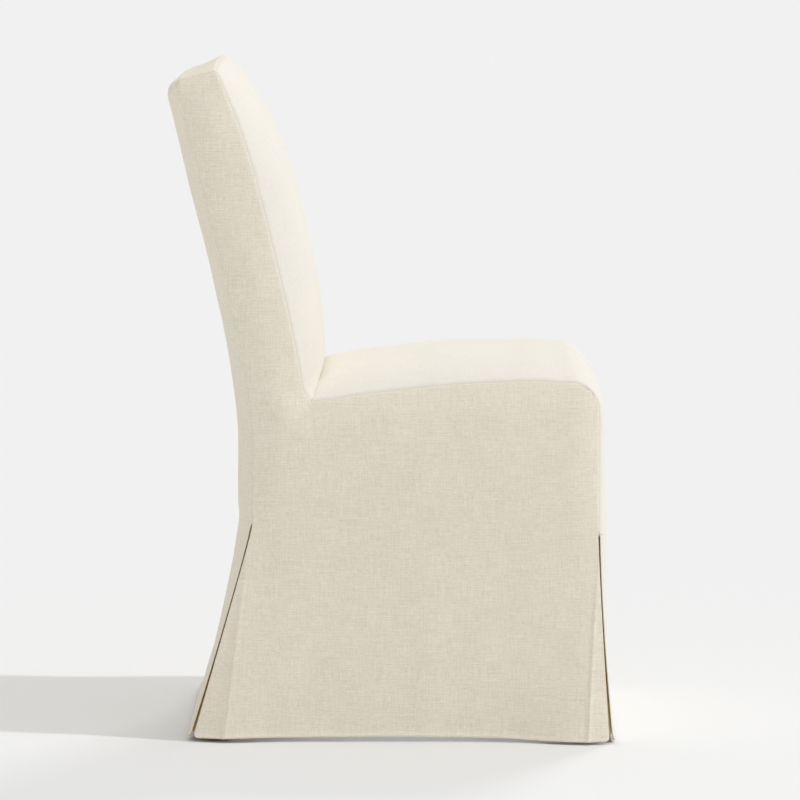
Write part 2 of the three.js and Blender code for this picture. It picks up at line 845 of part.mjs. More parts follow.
for (const [place, { solid, screws }] of [['front', front_block], ['rear', rear_block]]) {
  add_pair(`${place}_corner_block`, from_solid(solid), beech);
  add_pair(`${place}_block_rail_screw`, mergeVertices(screws[0]), steel);
  add_pair(`${place}_block_side_screw`, mergeVertices(screws[1]), steel);
}

const without_bores = (rail, bores) => bores.reduce((rest, bore) => rest.subtract(bore), rail);
const bores_of = ({ bores }, which) => {
  const bore = bores[which];
  return [bore, bore.mirror([1, 0, 0])];
};

add('front_rail', from_solid(without_bores(front_rail.rail, bores_of(front_block, 0))), beech);
add('rear_rail', from_solid(without_bores(rear_rail.rail, bores_of(rear_block, 0))), beech);
add_pair('side_rail', from_solid(
  side_rail.rail.subtract(front_block.bores[1]).subtract(rear_block.bores[1]),
), beech);
add('lower_back_rail', from_solid(lower_back_rail.rail), beech);
add('crest_rail', from_solid(crest_rail.rail), beech);

// Seat springs: one zigzag wire each, hooked into a clip on the front and on the rear rail

const wire_level = rail_top + gap + clip_thickness + gap + wire_radius;
const spring_run = rear_rail_y - front_rail_y;
const outer_spring_x = post_inner - spring_clearance - spring_half_width;
const spring_shares = [-1, -1 / 3, 1 / 3, 1];
const spring_bars = Math.round(spring_run / spring_pitch);
const bar_pitch = spring_run / spring_bars;
const arch_at = (y) => {
  const share = (2 * y - front_rail_y - rear_rail_y) / spring_run;
  return spring_arch * Math.max(0, 1 - share ** 2);
};

function spring_path() {
  const points = [new THREE.Vector3(-spring_half_width, front_rail_y, 0)];
  for (let bar = 0; bar < spring_bars; bar += 1) {
    const side = bar % 2 === 0 ? 1 : -1;
    const centre_x = side * (spring_half_width - bar_pitch / 2);
    const centre_y = front_rail_y + (bar + 0.5) * bar_pitch;
    for (const share of [0, 0.2, 0.4, 0.6, 0.8, 1]) {
      const turn = (share - 0.5) * Math.PI;
      const x = centre_x + side * (bar_pitch / 2) * Math.cos(turn);
      points.push(new THREE.Vector3(x, centre_y + (bar_pitch / 2) * Math.sin(turn), 0));
    }
  }
  const last_side = spring_bars % 2 === 0 ? 1 : -1;
  points.push(new THREE.Vector3(last_side * spring_half_width, rear_rail_y, 0));
  for (const point of points) {
    point.z = wire_level + arch_at(point.y);
  }
  return points;
}

// Wire with closed ends along a path that lies nearly level
function wire(path, radius, sides) {
  const up = new THREE.Vector3(0, 0, 1);
  const points = [];
  path.forEach((point, i) => {
    const ahead = path[Math.min(i + 1, path.length - 1)].clone().sub(path[Math.max(i - 1, 0)]).normalize();
    const side = new THREE.Vector3().crossVectors(ahead, up).normalize();
    const over = new THREE.Vector3().crossVectors(side, ahead);
    for (let k = 0; k < sides; k += 1) {
      const turn = (2 * Math.PI * k) / sides;
      points.push(point.clone()
        .addScaledVector(side, radius * Math.cos(turn))
        .addScaledVector(over, radius * Math.sin(turn)));
    }
  });
  const triangles = [];
  for (let i = 0; i + 1 < path.length; i += 1) {
    for (let k = 0; k < sides; k += 1) {
      const [a, b] = [i * sides + k, i * sides + (k + 1) % sides];
      triangles.push([a, b, b + sides], [a, b + sides, a + sides]);
    }
  }
  const last = (path.length - 1) * sides;
  for (let k = 1; k + 1 < sides; k += 1) {
    triangles.push([0, k + 1, k], [last, last + k, last + k + 1]);
  }
  return to_geometry(points, triangles);
}

function spring_clip() {
  const inner = wire_radius + gap;
  const outer = inner + clip_thickness;
  const arc = (radius) => steps(curl_steps).map((share) => {
    const turn = mix(-Math.PI / 2, 0.75 * Math.PI, share);
    return new THREE.Vector2(radius * Math.cos(turn), outer + radius * Math.sin(turn));
  });
  const leaf = [new THREE.Vector2(-clip_leaf, clip_thickness), new THREE.Vector2(-clip_leaf, 0)];
  const outline = [...arc(outer), ...arc(inner).reverse(), ...leaf];
  return mergeVertices(side_plate(outline, -clip_width / 2, clip_width / 2));
}

const spring = wire(spring_path(), wire_radius, wire_sides);
const clip = spring_clip();
for (const [i, share] of spring_shares.entries()) {
  const x = share * outer_spring_x;
  const number = i + 1;
  add(`seat_spring_${number}`, spring, steel).position.x = x;
  add(`front_spring_clip_${number}`, clip, steel).position.set(x, front_rail_y, rail_top + gap);
  const rear_clip = add(`rear_spring_clip_${number}`, clip, steel);
  rear_clip.position.set(x, rear_rail_y, rail_top + gap);
  rear_clip.rotation.z = Math.PI;
}

// Deck felt, foams and battings

const deck_front = frame_front + strap_end_inset;
const deck_rear = post_rear(rail_top) - strap_end_inset;
const deck_shares = steps(seat_shares.length + 5);

function deck_height(x, y) {
  const over_clips = wire_level + wire_radius + clip_thickness + 2 * gap + arch_at(y);
  const beside = clamp((Math.abs(x) - deck_shoulder) / deck_fade);
  return mix(over_clips, rail_top + 2 * gap, beside);
}

const spring_reach = outer_spring_x + spring_half_width + wire_radius;
const deck_shoulder = columns.find((x) => x >= spring_reach);
const foam_columns = columns.slice(1, -1);
const deck_grid = (lift) => deck_shares.map((share) => foam_columns.map((x) => {
  const y = mix(deck_rear, deck_front, share);
  return new THREE.Vector3(x, y, deck_height(x, y) + lift);
}));

const post_notch = (side) => {
  const ends = [side * (post_inner - notch_clearance), side * (half_width + overrun)];
  const reach = ends.sort((a, b) => a - b);
  const front = post_front(rail_top) - notch_clearance;
  return block(...reach, front, back_line + overrun, rail_bottom, back_height);
};
const notched = (solid) => solid.subtract(post_notch(1)).subtract(post_notch(-1));

add('deck_felt', from_solid(notched(to_solid(shell([
  { outer: deck_grid(felt_thickness), inner: deck_grid(0) },
])))), felt);

const cover_inset = cover_thickness + gap;
const seat_sunk = inner_columns(sunk(seat_front.grid, cover_inset, seat_front.outward));
const seat_foam_top = [
  seat_sunk[0].map((point) => new THREE.Vector3(point.x, deck_rear, point.z)),
  ...seat_sunk.slice(0, deck_front_row + 1),
];
add('seat_foam', from_solid(notched(to_solid(shell([
  { outer: seat_foam_top, inner: deck_grid(felt_thickness + gap) },
])))), foam);

// A row of a surface moved a little way towards the row before it
const eased_row = (row, before, amount) => row.map((point, j) => {
  const step = before[j].clone().sub(point);
  return point.clone().addScaledVector(step, amount / step.length());
});

const front_batting_rows = seat_sunk.slice(deck_front_row, batting_end_row + 1);
front_batting_rows[0] = eased_row(front_batting_rows[0], front_batting_rows[1], deck_front_height - rail_top);
add('front_batting', shell([{
  outer: front_batting_rows,
  inner: front_batting_rows.map((row) => row.map((p) => new THREE.Vector3(p.x, frame_front - gap, p.z))),
}]), batting);

const back_sunk = inner_columns(sunk(inside_back, cover_inset, inside_outward));
const back_foam_front = back_sunk.slice();
const top_row = back_sunk.length - 1;
back_foam_front[top_row] = eased_row(back_sunk[top_row], back_sunk[top_row - 1], 2 * cover_thickness + gap)
  .map((point) => new THREE.Vector3(point.x, point.y + 2 * gap, point.z));
const back_foam_seat = strap_thickness + 4 * gap;
add('back_foam', shell([{
  outer: back_foam_front,
  inner: back_foam_front.map((row, i) => row.map((point) => {
    const y = post_front(point.z) - back_foam_seat;
    const drop = i === top_row ? top_slope * (y - point.y) : 0;
    return new THREE.Vector3(point.x, y, point.z - drop);
  })),
}]), foam);

const back_outer = inner_columns(sunk(outside_back.grid, cover_inset, outside_back.outward));
add('top_pad', shell([{
  outer: back_outer.slice(1, cap_rows),
  inner: outside_back.grid.slice(1, cap_rows).map((row) => row.slice(1, -1).map(
    (point) => new THREE.Vector3(point.x, point.y, cap_height(point.y) - cap_padding + gap),
  )),
}]), foam);

const outer_batting_rows = back_outer.slice(back_batting_start, back_batting_end);
outer_batting_rows[0] = eased_row(outer_batting_rows[0], outer_batting_rows[1], top_corner_radius);
add('outside_back_batting', shell([{
  outer: outer_batting_rows,
  inner: outer_batting_rows.map((row) => row.map((p) => new THREE.Vector3(p.x, post_rear(p.z) + gap, p.z))),
}]), batting);

// Side batting: seat side and back side in one piece under the side panel

function side_batting_outline() {
  const inset = cover_thickness + 3 * gap;
  const corner_points = [0, 0.25, 0.5, 0.75, 1].map((share) => seat_corner(share)
    .sub(new THREE.Vector2(seat_arc_y, seat_arc_centre))
    .multiplyScalar(1 - inset / seat_front_radius)
    .add(new THREE.Vector2(seat_arc_y, seat_arc_centre)));
  const seam_points = [0.25, 0.5, 0.75].map((share) => {
    const y = mix(seat_arc_y, crevice_y, share);
    return new THREE.Vector2(y, seat_seam(y) - inset);
  });
  const back_points = [...back_levels.slice(1, -2), crevice_height + crevice_rise].reverse();
  const crevice_point = new THREE.Vector2(crevice_y + inset, crevice_height - inset);
  return [
    new THREE.Vector2(-seat_front_reach + inset, batting_bottom),
    ...corner_points,
    ...seam_points,
    crevice_point,
    ...back_points.map((z) => new THREE.Vector2(back_face(z, crevice_height) + inset, z)),
    new THREE.Vector2(top_front_y + inset, back_height - inset * (1 + top_slope)),
    corner_arc(0).addScaledVector(up_cap, -inset),
    corner_arc(1).addScaledVector(along_cap, -inset),
    ...back_levels.slice(1).map((z) => new THREE.Vector2(rear_seam(z) - inset, z)),
    new THREE.Vector2(back_line - inset, batting_bottom),
  ];
}

add_pair('side_batting', mergeVertices(
  side_plate(side_batting_outline(), frame_half + gap, panel_half),
), batting);

// Webbing across the posts, behind the back foam

strap_heights.forEach((height, i) => {
  const rise = post_front(height + strap_width / 2) - post_front(height - strap_width / 2);
  const strap = new THREE.BoxGeometry(2 * (frame_half - strap_end_inset), strap_thickness, strap_width);
  const mesh = add(`back_strap_${i + 1}`, strap, webbing);
  mesh.position.set(0, post_front(height) - gap - strap_thickness / 2, height);
  mesh.rotation.x = -Math.atan2(rise, strap_width);
});

// Dust cover under the rails, cut out at the legs and posts

function dust_cover_outline() {
  const front = frame_front + strap_end_inset;
  const rear = post_rear(rail_bottom) - strap_end_inset;
  const right_half = [
    [leg_inner - gap, front],
    [leg_inner - gap, leg_rear + gap],
    [frame_half - strap_end_inset, leg_rear + gap],
    [frame_half - strap_end_inset, post_front(rail_bottom) - gap],
    [post_inner - gap, post_front(rail_bottom) - gap],
    [post_inner - gap, rear],
  ];
  const left_half = right_half.map(([x, y]) => [-x, y]).reverse();
  return [...right_half, ...left_half].map(([x, y]) => new THREE.Vector2(x, y));
}

const dust_cover = new THREE.ExtrudeGeometry(
  new THREE.Shape(dust_cover_outline()),
  { depth: dust_cover_thickness, bevelEnabled: false },
);
add('dust_cover', dust_cover, cambric).position.z = rail_bottom - gap - dust_cover_thickness;

// Slipcover

const sheet_of = (grid, outward) => shell([{ outer: grid, inner: sunk(grid, cover_thickness, outward) }]);

add('slipcover_seat_front', sheet_of(seat_front.grid, seat_front.outward), linen);
add('slipcover_inside_back', sheet_of(inside_back, inside_outward), linen);
add('slipcover_outside_back', sheet_of(outside_back.grid, outside_back.outward), linen);
add_pair('slipcover_side', shell([
  side_patch(seat_side, side_row_shares, side_column_shares),
  side_patch(rear_side, side_row_shares, rear_column_shares),
  side_patch(upright_side, upright_row_shares, rear_column_shares),
]), linen);
add_pair('front_pleat_underlay', underlay(side_front_edge, front_panel_x, front_panel_y, 1), lining);
add_pair('rear_pleat_underlay', underlay(rear_seam, rear_panel_x, rear_panel_y, -1), lining);

// The origin lies on the floor under the middle of the chair

chair.updateMatrixWorld(true);
const extent = new THREE.Box3().setFromObject(chair);
chair.position.y = -(extent.min.y + extent.max.y) / 2;

export default chair;
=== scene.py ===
"""A parsons dining chair in a loose linen-weave slipcover with a kick pleat at each corner.

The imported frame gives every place. Lengths are metres, +Z is up, the chair faces -Y, and the camera
stands on the -X side. Each panel of the slipcover is one folded and seamed sheet of cloth.
"""

import math

import bpy
import numpy as np
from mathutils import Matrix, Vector
from mathutils.bvhtree import BVHTree
from mathutils.kdtree import KDTree


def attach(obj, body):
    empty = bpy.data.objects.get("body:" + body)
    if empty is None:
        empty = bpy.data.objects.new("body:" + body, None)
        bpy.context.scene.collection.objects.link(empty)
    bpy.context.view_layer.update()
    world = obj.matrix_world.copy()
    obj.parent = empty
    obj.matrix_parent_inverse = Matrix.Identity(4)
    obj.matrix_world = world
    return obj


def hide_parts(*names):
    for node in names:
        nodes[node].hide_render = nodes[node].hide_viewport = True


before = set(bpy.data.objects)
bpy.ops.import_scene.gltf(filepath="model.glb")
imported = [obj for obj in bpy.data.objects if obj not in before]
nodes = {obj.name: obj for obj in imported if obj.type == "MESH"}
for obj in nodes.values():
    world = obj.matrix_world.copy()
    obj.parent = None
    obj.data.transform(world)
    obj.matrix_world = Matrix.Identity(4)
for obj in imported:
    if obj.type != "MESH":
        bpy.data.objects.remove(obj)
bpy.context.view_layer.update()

# Outline of the slipcover from seam to seam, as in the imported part. HALF is half its width. The seat
# turns down in front over SEAT_ARC and falls behind into the CREVICE between seat and back. The back
# leans from LEAN_START up and gets thinner towards its top. DEPTH_SHIFT centres the chair in depth, and
# FIT_ROUNDS is how often a place that two lines share is tried.

DEPTH_SHIFT = -0.000237
HALF = 0.250
SEAT_FRONT = 0.300
BACK_LINE = 0.2042
BACK_DEPTH = 0.085
SEAT_HEIGHT = 0.5237
SEAT_FALL = 0.0277
SEAT_FALL_START = 0.225
SEAT_FALL_CURVE = 1.5
SEAT_ARC = 0.045
SEAT_RISE = ((-0.255, -0.190, -0.080, 0.0, 0.113), (0.0, 0.0030, 0.0043, 0.0029, 0.0))
BACK_HEIGHT = 0.970
LEAN = 0.264
LEAN_START = 0.430
LEAN_BEND = 0.128
THINNING = 0.018
THINNING_LENGTH = 0.170
TOP_ARC = 0.012
CREVICE_DIP = 0.009
CREVICE_RISE = 0.018
FIT_ROUNDS = 12

# Crowns of the upholstery: how far the middle of a panel stands out over its seams. Each pair of rows
# is a line: places, and what it has there. PILLOW is the side panels' fullness. It is full at
# PILLOW_REACH from the seams, fades from above the slits down into the skirt, and has a lesser share
# along the back's side.

CROWN_POWER = 4
SEAT_CROWN = 0.028
SEAT_FULLER = ((-0.255, -0.185, -0.060, 0.090), (-0.0024, -0.0015, 0.0036, 0.0021))
FRONT_CROWN = 0.015
NOSE_EASED = ((0.0, 0.65, 1.0), (0.0035, 0.0130, 0.0070))
FRONT_EASED = ((0.300, 0.4787), (0.0, 0.0070))
BACK_CROWN = 0.0435
CREVICE_CROWN = 0.028
CROWN_RISE = 0.200
CROWN_ROLL = 0.226
TOP_CROWN = 0.0095
REAR_CROWN = 0.0235
REAR_TOP_CROWN = 0.0215
REAR_CROWN_HEIGHT = 0.700
REAR_CROWN_FALL = 2.1
REAR_CROWN_FOOT = 0.335
PILLOW = 0.0126
PILLOW_REACH = 0.050
PILLOW_FADE = (0.100, 0.220)
BACK_PILLOW_SHARE = 0.5
BACK_PILLOW_START = (0.04, 0.12)

# Skirt. It flares from SLIT down to HEM, by a FLARE at the hem that grows along a CURVE's power. A
# PLEAT has the side's stand-off at the hem, how far its edge turns back, how far from the edge it is
# creased, and its spread. A GAP is the open slit at its top and at the hem, LINING the cloth behind
# it, which is sewn in at its top, and RIDGE the pressed edge of a crease.

HEM = 0.004
SLIT = 0.312
RAKE = 0.272
RAKE_START = 0.330
RAKE_BEND = 0.020
SIDE_FRONT_FLARE = 0.0115
SIDE_FRONT_CURVE = 1.3
FRONT_FLARE = 0.019
FRONT_CURVE = 1.6
FRONT_EDGE_FLARE = 0.010
BACK_FLARE = 0.007
BACK_CURVE = 2
SKIRT_CURVE = 1.5
REAR_TURN_IN = 0.006
FRONT_PLEAT = (0.030, 0.008, 0.030, 0.085)
REAR_PLEAT = (0.010, 0.0105, 0.044, 0.060)
LINING_REACH = 0.095
LINING_TOP = 0.346
LINING_HEM = 0.013
LINING_SLACK = 0.0042
LINING_FOLLOWS = 0.6
LINING_SEWN = 0.0024
LINING_SEWN_IN = (0.03, 0.02)
LINING_STEP = 0.006
LINING_WAVE = (0.0004, 0.05, 0.02)
LEG_FACE = 0.2374
LEG_ROOM = 0.0012
CORNER_ROOM = 0.0016
CORNER_FACING = 0.7
PANEL_EDGE = 0.2477
FREE_EDGE = 0.2485
FRONT_GAP = (0.0046, -0.0010)
REAR_GAP = (0.0038, -0.0010)
REAR_SLIT = 0.325
RIDGE = 0.0022
RIDGE_WIDTH = 0.0024
RIDGE_FADE = 0.5

# Sewing: a seam lies SEAM_DEPTH under the cloth that rolls into it, and a hem is a fold of FOLD radius
# with a soft BEAD along its lower edge. TURNED_IN are the rows of points behind an edge: how far down
# and in each lies, first at a seam, where down is a share of SEAM_DEPTH, and then at a fold.

CLOTH = 0.0008
SEAM_DEPTH = 0.0030
SEAM_ROLL = 0.0048
CREVICE_DEPTHS = ((0.0, 0.150, 0.200, 0.250), (0.0066, 0.0066, 0.0028, 0.0012))
CREVICE_ROLL = 0.014
CREVICE_SPAN = (0.45, 0.56)
CREVICE_END = 0.004
FOLD = 0.0009
TURNED_IN = ((0.8, 0.0001, 0.0006, 0.00026), (2.0, 0.0003, FOLD, FOLD), (3.4, 0.0005, 0.0010, 0.0080))
TURNED_THREADS = 0.002
HEM_BOTTOM = 0.0055
HEM_CORNER = 0.006
HEM_WIDTH = 0.0125
HEM_STEP = 0.0030
HEM_RISE = ((-0.330, -0.220, -0.140, -0.020, 0.190, 0.250), (-0.0017, -0.0015, 0.0005, 0.0020, 0.0007, 0.0))
HEM_RISE_ENDS = 0.050
HEM_LIFT = 0.0004
HEM_BEAD = 0.0021
BEAD_HEIGHT = 0.0022
BEAD_WIDTH = 0.0024
SEAM_FADE = 0.012

# A seam's darker line is painted shade, as of the seam's groove. It fades where the seam lies flat, from
# a distance off, over a length: along the rear edges, round the top, into the crevice, and by a share below
# the front corners.

SEAM_SHADE_WIDTH = 0.0008
SEAM_SHADE_COLOUR = "#e9e3d7"
UNSEWN = 0.02
REAR_HIDDEN = (0.030, 0.015)
TOP_HIDDEN = (0.060, 0.050)
CREVICE_HIDDEN = (0.004, 0.020)
FRONT_HIDDEN = (0.45, 0.030)

# Waves of the loose cover, each with its length. They start a little off a seam, at the first of
# QUIET_EDGE, and are full over its second. Puckers lie along the seams, and flutes run down the skirt.

SWELL_COUNT = 11
SWELL_LENGTHS = (0.7, 1.7)
SWELL_PEAK = 1.2
QUIET_EDGE = (0.004, 0.03)
BROAD_WAVE = 0.16
LESSER_WAVE = 0.055
LESSER_SHARE = 0.3
PUCKER = 0.0004
PUCKER_WAVE = 0.024
PUCKER_REACH = 0.012
PUCKER_START = 0.003
FLUTE_WAVE = 0.075
FLUTE_DRAWN = 0.12

# Steps of the grids, fine beside an edge and in a pleat's crease, and rows round each arc. Then the
# shares of a side panel's front edge and seat seam that meet on the front arc, and how much longer a
# seam's depth is when it is taken level across the leaning back.

NEAR_EDGE = [0, 0.0003, 0.0009, 0.0018, 0.003, 0.0046, 0.008]
GRID_STEP = 0.0045
CREASE_STEP = 0.0017
CREASE_REACH = 0.048
SEAT_ARC_ROWS = 12
TOP_ARC_ROWS = 13
BACK_ROLL_ROWS = 60
ARC_POINTS = 6
FRONT_ARC_START = 0.93
SEAT_ARC_PART = 0.077
LEAN_STRETCH = 1.03


def clamp(value):
    return np.clip(value, 0.0, 1.0)


def mix(a, b, share):
    return a + (b - a) * share


def smooth(t):
    t = clamp(t)
    return t * t * (3 - 2 * t)


def bend(rise, length, slope):
    """How far a line has moved that turns into a slope over a length."""
    return np.where(rise > 0, slope * (np.hypot(rise, length) - length), 0.0)


def through(x, line):
    """A smooth line through places and values that is level at each of them."""
    places, values = (np.array(row) for row in line)
    x = np.asarray(x, float)
    i = np.clip(np.searchsorted(places, x) - 1, 0, len(places) - 2)
    return mix(values[i], values[i + 1], smooth((x - places[i]) / (places[i + 1] - places[i])))


def skirt_fall(z):
    """Share of the way down the skirt, from the slits' tops to the hem."""
    return clamp((SLIT - z) / (SLIT - HEM))


def rear_seam(z):
    return BACK_LINE + bend(z - LEAN_START, LEAN_BEND, LEAN) + bend(RAKE_START - z, RAKE_BEND, RAKE)


def back_front_seam(z):
    thinner = clamp((z - BACK_HEIGHT + THINNING_LENGTH) / THINNING_LENGTH) ** 2
    return rear_seam(z) - BACK_DEPTH + THINNING * thinner


def side_front_edge(z):
    return -SEAT_FRONT - SIDE_FRONT_FLARE * skirt_fall(z) ** SIDE_FRONT_CURVE


def front_edge(z):
    return -SEAT_FRONT - FRONT_FLARE * skirt_fall(z) ** FRONT_CURVE


def back_edge(z):
    return rear_seam(z) + BACK_FLARE * skirt_fall(z) ** BACK_CURVE


CREVICE_HEIGHT = SEAT_HEIGHT - SEAT_FALL
CREVICE_Y = float(back_front_seam(CREVICE_HEIGHT)) - CREVICE_DIP
ARC_Z = SEAT_HEIGHT - SEAT_ARC
ARC_Y = -SEAT_FRONT + SEAT_ARC


def crevice_tuck(rise):
    """Share of the seam's dip towards the seat, at a height above the crevice."""
    return (1 - clamp(rise / CREVICE_RISE)) ** 2


def tucked_seam(z):
    """The seam along the front of the back's side, which dips into the crevice at its foot."""
    return back_front_seam(z) - CREVICE_DIP * crevice_tuck(z - CREVICE_HEIGHT)


def seat_seam(y):
    fall = clamp((y + SEAT_FALL_START) / (CREVICE_Y + SEAT_FALL_START)) ** SEAT_FALL_CURVE
    return SEAT_HEIGHT - SEAT_FALL * fall + through(y, SEAT_RISE)


TOP_Y = float(back_front_seam(BACK_HEIGHT))
TOP_SLOPE = LEAN * (BACK_HEIGHT - LEAN_START) / math.hypot(BACK_HEIGHT - LEAN_START, LEAN_BEND)
TILT = math.atan(TOP_SLOPE)
ALONG_CAP = np.array([math.cos(TILT), -math.sin(TILT)])
UP_CAP = np.array([math.sin(TILT), math.cos(TILT)])


def cap_height(y):
    return BACK_HEIGHT - TOP_SLOPE * (y - TOP_Y)


def cap_corner():
    """Where the top's line and the rear seam's meet."""
    z = BACK_HEIGHT
    for _ in range(FIT_ROUNDS):
        z = float(cap_height(rear_seam(z)))
    return np.array([float(rear_seam(z)), z])


ARC_CENTRE = cap_corner() - TOP_ARC * (ALONG_CAP + UP_CAP)


def cap_arc(share, radius=TOP_ARC):
    turn = np.asarray(share)[..., None] * math.pi / 2
    return ARC_CENTRE + radius * (np.cos(turn) * UP_CAP + np.sin(turn) * ALONG_CAP)


def pleat(distance, kick, turn, setback, spread):
    """How far a side panel stands off at a kick pleat, a distance away from its slit."""
    flat = kick - turn * (1 - distance / np.maximum(setback, 1e-9))
    return np.where(distance < setback, flat, kick * np.exp(-(((distance - setback) / spread) ** 2)))


def side_panel_x(y, z):
    """How far out a side panel lies, with its flares and creases at the pleats."""
    fall = skirt_fall(z)
    front = np.maximum(0, y - side_front_edge(z))
    rear = np.maximum(0, rear_seam(z) - y)
    stand_off, ridge = 0.0, 0.0
    for distance, (kick, turn, setback, spread) in ((front, FRONT_PLEAT), (rear, REAR_PLEAT)):
        stand_off = stand_off + pleat(distance, kick, turn, setback * fall, spread)
        ridge = ridge + np.exp(-(((distance - setback * fall) / RIDGE_WIDTH) ** 2))
    return HALF + stand_off * fall ** SKIRT_CURVE + RIDGE * ridge * smooth(fall / RIDGE_FADE)


def front_crown(z):
    fuller = FRONT_CROWN - through(z, FRONT_EASED)
    return fuller * (1 - skirt_fall(z))


def rear_crown(z):
    share = clamp((z - REAR_CROWN_HEIGHT) / (BACK_HEIGHT - REAR_CROWN_HEIGHT))
    foot = clamp((z - HEM) / (REAR_CROWN_FOOT - HEM)) ** REAR_CROWN_FALL
    return mix(REAR_CROWN, REAR_TOP_CROWN, share) * foot


def crown_at(x):
    return 1 - clamp(np.abs(x) / HALF) ** CROWN_POWER


# Grids: steps that are fine beside an edge, patches between four lines, and waves over them


def steps(length, near_start, near_end, step=GRID_STEP):
    """Distances from 0 to length, close together beside an edge that is sewn or folded."""
    start = NEAR_EDGE if near_start else [0]
    end = NEAR_EDGE if near_end else [0]
    inner = length - start[-1] - end[-1]
    count = max(2, round(inner / step))
    middle = start[-1] + inner * np.arange(1, count) / count
    return np.concatenate([start, middle, length - np.array(end[::-1])])


def path(y, z):
    return np.stack([y, z], -1)


def coons(left, right, bottom, top, u, v):
    """A patch between four border lines of 2-D points that meet at its corners."""
    u, v = u[None, :, None], v[:, None, None]
    ruled = mix(left[:, None], right[:, None], u)
    lofted = mix(bottom[None], top[None], v)
    corners = mix(mix(bottom[None, :1], bottom[None, -1:], u), mix(top[None, :1], top[None, -1:], u), v)
    return ruled + lofted - corners


def swell(a, b, length, seed):
    """Gentle waves of cloth over a surface with coordinates a and b, from about -1 to 1."""
    rng = np.random.default_rng(seed)
    total = np.zeros(np.broadcast(a, b).shape)
    for _ in range(SWELL_COUNT):
        turn = rng.uniform(0, 2 * math.pi)
        wave = 2 * math.pi / (length * rng.uniform(*SWELL_LENGTHS))
        total += np.sin(wave * (a * math.cos(turn) + b * math.sin(turn)) + rng.uniform(0, 2 * math.pi))
    return total / math.sqrt(SWELL_COUNT) / SWELL_PEAK


# Cloth: patches of a surface become one closed sheet with sunk seams and folded hems


def face_normals(points, faces):
    a, b, c, d = (points[faces[:, i]] for i in range(4))
    return np.cross(c - a, d - b)


def unit(vectors):
    return vectors / np.maximum(np.linalg.norm(vectors, axis=1, keepdims=True), 1e-12)


def point_normals(points, faces):
    normals = np.zeros_like(points)
    flat = face_normals(points, faces)
    for i in range(4):
        np.add.at(normals, faces[:, i], flat)
    return unit(normals)


def border_edges(faces):
    """Directed edges that only one face has."""
    edges = np.concatenate([faces[:, [i, (i + 1) % 4]] for i in range(4)])
    have = {(int(a), int(b)) for a, b in edges}
    return [(a, b) for a, b in have if (b, a) not in have]


def merged(patches):
    """One set of points from patches that share the points in which they meet."""
    keys, points, inward, threads, faces = {}, [], [], [], []
    for patch_points, patch_inward, patch_threads, outward in patches:
        rows, cols = patch_points.shape[:2]
        index = np.empty((rows, cols), int)
        for i in range(rows):
            for j in range(cols):
                key = tuple(np.round(patch_points[i, j], 6))
                if key not in keys:
                    keys[key] = len(points)
                    points.append(patch_points[i, j])
                    inward.append(patch_inward[i, j])
                    threads.append(patch_threads[i, j])
                index[i, j] = keys[key]
        quads = np.stack([index[:-1, :-1], index[:-1, 1:], index[1:, 1:], index[1:, :-1]], -1).reshape(-1, 4)
        normal = face_normals(np.array(points), quads).sum(0)
        faces.append(quads if normal @ outward > 0 else quads[:, ::-1])
    return np.array(points), np.array(inward), np.array(threads), np.concatenate(faces)


COVERS = []


def seam_hidden(border):
    """How far a seam's line of painted shade is left out: those of the rear edges, the top and the crevice
    lie flat.
    """
    x, y, z = border.T
    rear = smooth((y - rear_seam(z) + REAR_HIDDEN[0]) / REAR_HIDDEN[1])
    top = smooth((z - cap_height(y) + TOP_HIDDEN[0]) / TOP_HIDDEN[1])
    crevice = smooth((HALF - CREVICE_HIDDEN[0] - np.abs(x)) / CREVICE_HIDDEN[1]) * (z < CREVICE_SPAN[1])
    front = FRONT_HIDDEN[0] * smooth((ARC_Z - z) / FRONT_HIDDEN[1]) * (y < 0)
    return np.maximum.reduce([rear, top, crevice, front])


